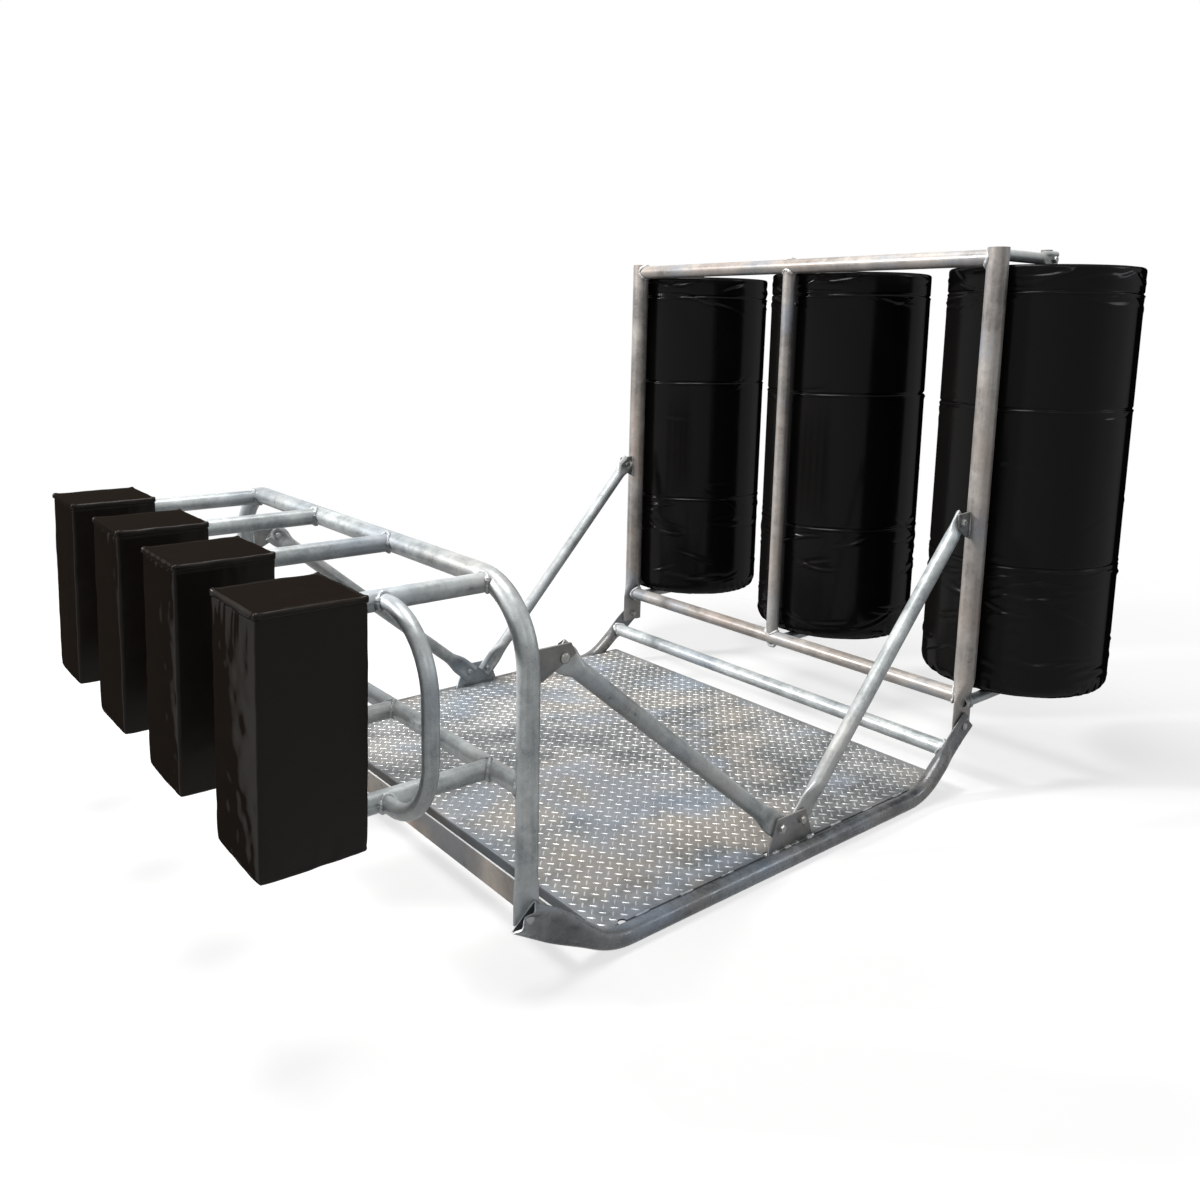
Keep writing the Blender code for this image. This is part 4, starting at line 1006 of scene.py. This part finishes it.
# %% [markdown]
# The frames stand on cup-headed bolts, and the braces hang on hexagon bolts. Each head, washer and
# nut is one small turned mesh, and Geometry Nodes put it on every bolt's place, facing along X.
# %% Bolt heads and nuts
def turned(name, rings, sides=24):
    """A closed turned shape from (height, radius, corners) rings along +Z."""
    verts = []
    for height, radius, corners in rings:
        for k in range(sides):
            angle = 2 * math.pi * k / sides
            reach = radius
            if corners:
                sector = 2 * math.pi / corners
                reach = radius * math.cos(sector / 2) / math.cos(angle % sector - sector / 2)
            verts.append((reach * math.cos(angle), reach * math.sin(angle), height))
    faces = ring_faces(len(rings), sides)
    faces.append(tuple(range(sides))[::-1])
    faces.append(tuple((len(rings) - 1) * sides + k for k in range(sides)))
    piece = mesh_from(name, verts, faces, bolt_zinc)
    piece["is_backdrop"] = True
    return piece


CUP_R, CUP_HEIGHT, CUP_BRIM = 0.0118, 0.0066, 0.0012
CUP_RINGS = [(0, CUP_R, 0), (CUP_BRIM, CUP_R, 0)]
for step in range(1, 6):
    angle = math.pi / 2 * step / 6
    CUP_RINGS.append((CUP_BRIM + (CUP_HEIGHT - CUP_BRIM) * math.sin(angle),
                      CUP_R * math.cos(angle) + 0.0004, 0))
CUP_RINGS.append((CUP_HEIGHT, 0.002, 0))
HEX_R = 0.0108
HEX_RINGS = [(0, 0.0122, 0), (0.0021, 0.0122, 0), (0.0022, 0.0108, 0), (0.0022, HEX_R, 6),
             (0.0082, HEX_R, 6), (0.0091, 0.0091, 0), (0.0091, 0.0062, 0), (0.0087, 0.0058, 0),
             (0.0087, 0.001, 0)]
NUT_RINGS = [(0, 0.0120, 0), (0.0022, 0.0120, 0), (0.0023, 0.0105, 0), (0.0024, HEX_R, 6),
             (0.0110, HEX_R, 6), (0.0119, 0.0089, 0), (0.0119, 0.0061, 0), (0.0124, 0.0060, 0),
             (0.0125, 0.0050, 0), (0.0125, 0.001, 0)]
SHAPES = {"dome": CUP_RINGS, "hexagon": HEX_RINGS, "nut": NUT_RINGS}
sources = {kind: turned(kind, rings) for kind, rings in SHAPES.items()}

heads = {kind: [] for kind in SHAPES}
BOLT_NODES = []
for side in (-1, 1):
    word = side_name(side)
    for name, kind in (("foot_bolt_front", "dome"), ("foot_bolt_rear", "dome"),
                       ("hoop_brace_bolt", "dome"), ("gusset_bolt_front", "hexagon"),
                       ("gusset_bolt_rear", "hexagon"), ("ruck_brace_bolt", "hexagon")):
        node = "%s_%s" % (name, word)
        BOLT_NODES.append(node)
        centre = middle(node)
        if name.startswith("foot"):
            outer, inner = RAIL_X + PINCH_T, POST_X - PINCH_T
        else:
            outer, inner = PLATE_X + PLATE_T / 2, BRACE_X - PINCH_T
        heads[kind].append(((side * outer, centre.y, centre.z), (side, 0, 0)))
        heads["nut"].append(((side * inner, centre.y, centre.z), (-side, 0, 0)))
for number, arm_x in enumerate(ARM_XS, 1):
    toward = 1 if POLE_XS[number - 1] > arm_x else -1
    nut_x = POLE_XS[number - 1] + toward * (LIGHT_D / 2 - 0.001)
    for z in (ARM_TOP_Z, ARM_LOW_Z):
        heads["hexagon"].append(((arm_x - toward * PINCH_T, BAG_Y, z), (-toward, 0, 0)))
        heads["nut"].append(((nut_x, BAG_Y, z), (toward, 0, 0)))
rng = np.random.default_rng(7)
for kind, source in sources.items():
    spots = heads[kind]
    turns = rng.uniform(0, math.pi / 3, len(spots))
    made = scatter("bolt_%ss" % kind, source, [s[0] for s in spots], [s[1] for s in spots],
                   [(0, math.cos(t), math.sin(t)) for t in turns], bolt_zinc, "zinc_plated_bolts")
    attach(made, "sled")
    if kind == "dome":
        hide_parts(*BOLT_NODES)
    bpy.data.objects.remove(source)
print({kind: len(spots) for kind, spots in heads.items()})

# %% [markdown]
# Vinyl covers are black, with a fine grain, a satin or glossy face and faint dusty scuffs. Sewing
# thread is black as well. The grain and the scuffs are a group that both vinyls share.
# %% Vinyl finishes
VINYL_INPUTS = (("Place", "Vector"), ("Cover", "Color", (0.010, 0.010, 0.011, 1)),
                ("Scuff Colour", "Color", (0.05, 0.045, 0.04, 1)), ("Scuff", "Float", 0.3),
                ("Least Roughness", "Float", 0.2), ("Most Roughness", "Float", 0.4))


def make_vinyl_group():
    tree, enter, leave = empty_group("vinyl face", "ShaderNodeTree", VINYL_INPUTS, COAT_OUTPUTS)
    place = enter["Place"]
    broad = noise_value(tree, place, 6.0, 5.0, 0.65)
    fine = noise_value(tree, place, 60.0, 3.0, 0.6)
    scuff = math_node(tree, "MULTIPLY", map_range(tree, broad, 0.52, 0.8), enter["Scuff"])
    scuff = math_node(tree, "MULTIPLY", scuff, map_range(tree, fine, 0.35, 0.75), True)
    feed(tree, leave["Colour"], mix_colour(tree, scuff, enter["Cover"], enter["Scuff Colour"]))
    span = math_node(tree, "SUBTRACT", enter["Most Roughness"], enter["Least Roughness"])
    share = math_node(tree, "MULTIPLY", map_range(tree, broad, 0.3, 0.75), span)
    feed(tree, leave["Roughness"], math_node(tree, "ADD", enter["Least Roughness"], share))
    grain = new_node(tree, "ShaderNodeTexVoronoi", {"Vector": place, "Scale": 620.0}, feature="SMOOTH_F1")
    height = math_node(tree, "ADD", math_node(tree, "MULTIPLY", grain.outputs["Distance"], 0.5),
                       math_node(tree, "MULTIPLY", fine, 0.5))
    feed(tree, leave["Height"], height)
    return tree


vinyl_group = make_vinyl_group()
print(vinyl_group.name, "of", len(vinyl_group.nodes), "nodes")


def vinyl_material(name, cover, scuff_colour, scuff, roughness, specular, depth):
    values = {"Cover": cover, "Scuff Colour": scuff_colour, "Scuff": scuff,
              "Least Roughness": roughness[0], "Most Roughness": roughness[1]}
    return coat_material(name, vinyl_group, values, (specular, 0.0, 0.30, 0.68), 0.0, (0.35, depth))[0]


satin_vinyl = vinyl_material("satin_black_vinyl", (0.0105, 0.0082, 0.0066), (0.026, 0.018, 0.012),
                             0.35, (0.29, 0.40), 0.10, 0.0004)
gloss_vinyl = vinyl_material("glossy_black_vinyl", (0.0045, 0.0043, 0.0041), (0.012, 0.010, 0.008),
                             0.4, (0.13, 0.24), 0.075, 0.0002)
thread_black = vinyl_material("black_thread", (0.010, 0.010, 0.010), (0.03, 0.025, 0.02), 0.2,
                              (0.5, 0.6), 0.2, 0.0002)

# %% [markdown]
# A scrum pad is a firm foam block in a sewn cover. The top panel is turned down over the sides and
# sewn there, and the cloth puckers under that rim. The block is a grid, fine at its edges, whose
# points are moved by rules: round edge, crown, rim, pucker, ear and slow dents.
# %% Scrum pads
PAD_EDGE, PAD_CROWN, PAD_CELL = 0.0055, 0.0035, 0.0050
RIM_DROP, RIM_STEP, RIM_SLOPE, STITCH_DROP = 0.0112, 0.0022, 0.0012, 0.0078
PUCKER_DEPTH, PUCKER_REACH = 0.0034, 0.034
EDGE_STOPS = (0, 0.0012, 0.0026, 0.0042, 0.0060, 0.0078, 0.0094, 0.0106, 0.0118, 0.0134, 0.0160, 0.0200)
STITCH_PITCH, THREAD_R, THREAD_LIFT = 0.0046, 0.00045, 0.0004


def axis_stops(half):
    """Places along one axis of the grid, close together near both ends."""
    count = math.ceil((half - EDGE_STOPS[-1]) / PAD_CELL)
    inner = np.linspace(EDGE_STOPS[-1], half, count + 1)[1:]
    one_side = np.concatenate([EDGE_STOPS, inner]) - half
    return np.concatenate([one_side, -one_side[-2::-1]])


def box_grid(half):
    """Points and faces of a box whose sides are grids that share their edges."""
    stops = [axis_stops(h) for h in half]
    index, verts, faces = {}, [], []

    def point(key):
        if key not in index:
            index[key] = len(verts)
            verts.append([s[k] for s, k in zip(stops, key)])
        return index[key]

    for axis in range(3):
        u, v = [a for a in range(3) if a != axis]
        for end in (0, len(stops[axis]) - 1):
            flip = (end == 0) != (axis == 1)
            for a in range(len(stops[u]) - 1):
                for b in range(len(stops[v]) - 1):
                    quad = []
                    for da, db in ((0, 0), (1, 0), (1, 1), (0, 1)):
                        key = [0, 0, 0]
                        key[axis], key[u], key[v] = end, a + da, b + db
                        quad.append(point(tuple(key)))
                    faces.append(tuple(quad[::-1] if flip else quad))
    return np.array(verts), faces


def bump_at(distance, width):
    return np.exp(-(distance / width) ** 2)


def pad_shape(box, half, seed):
    """Where the points of a box go on one stuffed pad, and the way each of them faces."""
    half = np.array(half)
    core = half - PAD_EDGE
    inner = np.clip(box, -core, core)
    facing = box - inner
    facing /= np.linalg.norm(facing, axis=1)[:, None]
    share = np.clip(np.abs(box) / half, 0, 1)
    on_side = np.abs(facing[:, 2]) < 0.999
    back = facing[:, 1] > 0.999
    dome = 1 - share ** 2.6
    crown = np.zeros(len(box))
    for axis in range(3):
        others = [k for k in range(3) if k != axis]
        crown += facing[:, axis] ** 2 * dome[:, others[0]] * dome[:, others[1]]
    place = inner + facing * PAD_EDGE
    place += facing * (PAD_CROWN * crown * ~back)[:, None]
    from_top, from_low = half[2] - box[:, 2], half[2] + box[:, 2]
    from_end = np.minimum(from_top, from_low)
    at_top = from_top < from_low
    rim = np.clip((RIM_DROP - from_end) / RIM_SLOPE, 0, 1) * at_top
    groove = 0.0012 * at_top * bump_at(from_end - RIM_DROP - 0.0012, 0.0016)
    dents = field(box, 9.0, seed) * 0.0010 + field(box, 30.0, seed + 3) * 0.0003
    under_rim = np.exp(-np.maximum(from_end - RIM_DROP, 0) / PUCKER_REACH)
    under_rim *= from_end > RIM_DROP - 0.002
    tall = box * np.array((1, 1, 0.16))
    pucker = field(tall, 34.0, seed + 5, 1) + 0.5 * field(tall, 80.0, seed + 6, 1)
    patchy = np.clip(0.55 + 0.9 * field(box, 7.0, seed + 8, 1), 0, 1.3)
    moved = dents + PUCKER_DEPTH * pucker * under_rim * patchy * on_side * np.where(at_top, 1.0, 0.7)
    moved += (RIM_STEP * rim - groove) * on_side
    front_or_back = facing[:, 0] ** 2 < 0.9
    moved += 0.0010 * field(box, 26.0, seed + 11, 1) * (1 - under_rim) * front_or_back * on_side
    from_corner = np.linalg.norm(half - np.abs(box), axis=1)
    ear, worn = 0.0034 * bump_at(from_corner, 0.0085), -0.0016 * bump_at(from_corner, 0.016)
    moved += np.where(at_top, ear, worn)
    return place + facing * moved[:, None], facing


def stitches_round(box, place, facing, half):
    """Places, ways out and ways along of the stitches on the turned-down rim of a pad's top."""
    row = np.flatnonzero(np.abs(box[:, 2] - (half[2] - STITCH_DROP)) < 1e-6)
    row = row[np.argsort(np.arctan2(box[row, 1] / half[1], box[row, 0] / half[0]))]
    line_points, out = place[row], facing[row]
    closed = np.vstack([line_points, line_points[:1]])
    lengths = np.concatenate([[0], np.cumsum(np.linalg.norm(np.diff(closed, axis=0), axis=1))])
    marks = np.arange(0, lengths[-1] - STITCH_PITCH / 2, STITCH_PITCH)
    spots = np.stack([np.interp(marks, lengths, closed[:, k]) for k in range(3)], 1)
    nearest = np.searchsorted(lengths, marks, "right") - 1
    return spots, out[nearest], np.roll(spots, -1, axis=0) - spots


def make_pad(number):
    low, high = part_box("scrum_pad_%d" % number)
    centre, half = (low + high) / 2, (high - low) / 2
    box, faces = box_grid(half)
    place, facing = pad_shape(box, half, number)
    place += np.array(centre)
    place[:, 1] = np.minimum(place[:, 1], high.y - 0.0002)
    place[:, 1] -= PAD_LEAN * np.clip((high.z - place[:, 2]) / (high.z - low.z), 0, 1)
    pad = mesh_from("pad_%d" % number, place, faces, satin_vinyl)
    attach(pad, "sled")
    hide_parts("scrum_pad_%d" % number)
    return pad, stitches_round(box, place, facing, half)


def stitch_mesh():
    """One thread stitch: a little arched bar of six sides along X."""
    verts = []
    for x, lift, share in ((-1, 0.0, 0.35), (-0.8, 0.5, 0.8), (0, 0.9, 1.0), (0.8, 0.5, 0.8), (1, 0.0, 0.35)):
        for k in range(6):
            angle = math.pi * k / 3
            verts.append((x * STITCH_PITCH * 0.36, THREAD_R * share * math.cos(angle),
                          THREAD_LIFT * lift + THREAD_R * share * math.sin(angle)))
    faces = ring_faces(5, 6) + [tuple(range(6))[::-1], tuple(range(24, 30))]
    piece = mesh_from("stitch", verts, faces, thread_black)
    piece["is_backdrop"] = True
    return piece


pads, sewn = zip(*(make_pad(number) for number in (1, 2, 3, 4)))
stitch = stitch_mesh()
thread = scatter("pad_stitches", stitch, *(np.concatenate([row[k] for row in sewn]) for k in range(3)),
                 thread_black, "black_vinyl")
bpy.data.objects.remove(stitch)
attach(thread, "sled")
print("pads of", len(pads[0].data.polygons), "faces,", len(thread.data.polygons), "faces of thread")

# %% [markdown]
# A ruck bag is a tall vinyl tube packed tight with crumb and foam. It is nearly straight, with a
# hem near its top, two seams round it, lens-shaped folds where the filling has settled, and a
# bottom edge drawn in. It is turned on a fine grid, and every fold is a ridge with a valley by it.
# %% Ruck bags
BAG_LOW, BAG_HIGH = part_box("ruck_bag_2")
BAG_R = (BAG_HIGH.x - BAG_LOW.x) / 2
BAG_AROUND = 300
FINE_ROW, COARSE_ROW = 0.0021, 0.0060
SEAM_ZS = (0.690, 1.155)
HEM_Z = BAG_HIGH.z - 0.074
BORE_R = LIGHT_D / 2 + 0.0008
SIDE_R = BAG_R - 0.0015         # the plain side, which leaves room for folds
BOTTOM_ROUND, TOP_ROUND = 0.040, 0.010
SEAM_DEPTH, SEAM_RIDGE, SEAM_WIDTH, SEAM_OFFSET = 0.0034, 0.0020, 0.0032, 0.0062
MOST_OUT = 0.0022               # no fold stands out further, so a turning bag clears its post

# Folds that a settled filling makes: angle, height, half length, slope, bend, width, depth.
SETTLED_FOLDS = ((-1.22, 0.547, 0.095, -0.23, 2.2, 0.0048, 0.0036),
                 (-1.85, 0.503, 0.045, 0.33, 1.0, 0.0045, 0.0034),
                 (-1.97, 0.640, 0.085, 0.06, 1.2, 0.0042, 0.0032),
                 (-1.35, 0.655, 0.080, 0.10, -0.6, 0.0040, 0.0028),
                 (-1.85, 1.494, 0.075, -0.16, 1.5, 0.0042, 0.0034),
                 (-1.95, 1.478, 0.050, 0.25, 1.5, 0.0040, 0.0030),
                 (-1.30, 1.490, 0.110, -0.05, 0.5, 0.0042, 0.0026),
                 (-1.10, 1.530, 0.090, 0.10, 0.8, 0.0045, 0.0030))
# Random folds in groups: height, spread, number, depth.
FOLD_GROUPS = ((HEM_Z - 0.022, 0.020, 16, 0.0030), (BAG_HIGH.z - 0.030, 0.016, 12, 0.0030),
               (SEAM_ZS[0] - 0.030, 0.040, 22, 0.0034), (SEAM_ZS[0] - 0.12, 0.07, 12, 0.0032),
               (SEAM_ZS[1] - 0.015, 0.020, 8, 0.0018), (BAG_LOW.z + 0.09, 0.06, 20, 0.0034),
               ((SEAM_ZS[0] + SEAM_ZS[1]) / 2, 0.20, 6, 0.0012))


def bag_folds(angle, z, seed):
    """How far folds push the cover in or out: ridge and valley pairs, most near the seams."""
    rng = np.random.default_rng(seed)
    folds = list(SETTLED_FOLDS)
    for level, spread, count, depth in FOLD_GROUPS:
        for _ in range(count):
            folds.append((rng.uniform(-math.pi, math.pi), rng.normal(level, spread * 0.6),
                          rng.uniform(0.05, 0.13), rng.normal(0, 0.22), rng.uniform(-1.8, 1.8),
                          rng.uniform(0.0042, 0.0085), depth * rng.uniform(0.4, 1.0)))
    moved = np.zeros_like(angle)
    for a0, z0, length, slope, bend, width, size in folds:
        across = np.angle(np.exp(1j * (angle - a0))) * BAG_R
        t = (z - z0 - slope * across - bend * across ** 2) / width
        reach = np.clip(1 - (across / length) ** 2, 0, 1) ** 1.5
        moved += size * reach * (np.exp(-t * t) - 0.8 * np.exp(-((t - 1.7) / 1.2) ** 2))
    return moved


def bag_rows(low, high):
    """Heights of the rows of a bag's side: close where it is folded, wide where it is plain."""
    heights = [low]
    while heights[-1] < high:
        z = heights[-1]
        plain = SEAM_ZS[0] + 0.05 < z < SEAM_ZS[1] - 0.04 or SEAM_ZS[1] + 0.03 < z < HEM_Z - 0.06
        heights.append(z + (COARSE_ROW if plain else FINE_ROW))
    return low + (np.array(heights) - low) * (high - low) / (heights[-1] - low)


def bag_outline():
    """Radius and height steps from the bore under the bag, up its side, to the bore on top."""
    low, high = BAG_LOW.z, BAG_HIGH.z
    steps = [(BORE_R, low + 0.006), (0.03, low + 0.003), (0.10, low + 0.001), (0.17, low), (0.215, low)]
    for k in range(1, 12):
        a = math.pi / 2 * k / 12
        steps.append((BAG_R - 0.002 - BOTTOM_ROUND * (1 - math.sin(a)),
                      low + BOTTOM_ROUND * (1 - math.cos(a))))
    body_low, body_high = low + BOTTOM_ROUND, high - TOP_ROUND
    steps += [(SIDE_R, z) for z in bag_rows(body_low, body_high)]
    for k in range(1, 6):
        a = math.pi / 2 * k / 5
        steps.append((SIDE_R - TOP_ROUND * (1 - math.cos(a)), body_high + TOP_ROUND * math.sin(a)))
    for radius, drop in ((0.255, 0.004), (0.245, 0.010), (0.22, 0.0105), (0.17, 0.010), (0.12, 0.009),
                         (0.07, 0.008), (0.03, 0.008), (BORE_R, 0.009)):
        steps.append((radius, high - drop))
    return np.array(steps)


def make_bag(number):
    rng = np.random.default_rng(20 + number)
    steps = bag_outline()
    angles = 2 * np.pi * np.arange(BAG_AROUND) / BAG_AROUND
    radius = np.repeat(steps[:, :1], BAG_AROUND, 1)
    z = np.repeat(steps[:, 1:], BAG_AROUND, 1)
    angle = np.repeat(angles[None], len(steps), 0)
    side = np.clip((radius - 0.22) / 0.04, 0, 1)
    moved = bag_folds(angle, z, 40 + number)
    for level in (*SEAM_ZS, HEM_Z):
        wander = 0.0014 * np.sin(3 * angle + level * 40) + 0.0008 * np.sin(7 * angle + number)
        t = z - level - wander
        moved += SEAM_RIDGE * bump_at(t + SEAM_OFFSET, SEAM_WIDTH) - SEAM_DEPTH * bump_at(t, SEAM_WIDTH)
    for waves, size in ((2, 0.0022), (3, 0.0016), (5, 0.0008)):
        phase = rng.uniform(0, 2 * np.pi)
        moved += -size * (0.5 + 0.5 * np.sin(waves * angle + phase + 2.2 * z))
    gather = np.exp(-((z - BAG_LOW.z) / 0.035) ** 2) * side
    tucks = np.sin(38 * angle + 3 * np.sin(5 * angle)) * (0.6 + 0.4 * np.sin(3 * angle + 1))
    moved += gather * 0.0030 * tucks
    r = radius + np.minimum(moved, MOST_OUT) * side
    lift = (1 - side) * 0.0015 * np.sin(9 * angle + number) * np.clip((radius - 0.05) / 0.1, 0, 1)
    verts = np.stack([POLE_XS[number - 1] + r * np.cos(angle), BAG_Y + r * np.sin(angle), z + lift], -1)
    faces = ring_faces(len(steps), BAG_AROUND)
    last = (len(steps) - 1) * BAG_AROUND
    for k in range(BAG_AROUND):
        n = (k + 1) % BAG_AROUND
        faces.append((last + k, last + n, n, k))
    bag = mesh_from("bag_%d_cover" % number, verts.reshape(-1, 3), faces, gloss_vinyl)
    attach(bag, "bag_%d" % number)
    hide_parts("ruck_bag_%d" % number)
    return bag


bags = [make_bag(number) for number in (1, 2, 3)]
print("bags of", len(bags[0].data.polygons), "faces")

# %% [markdown]
# Last comes the box round every piece that is shown.
# %% Visual box
low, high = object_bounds()
print("visual box", [round(a, 3) for a in low], [round(a, 3) for a in high])
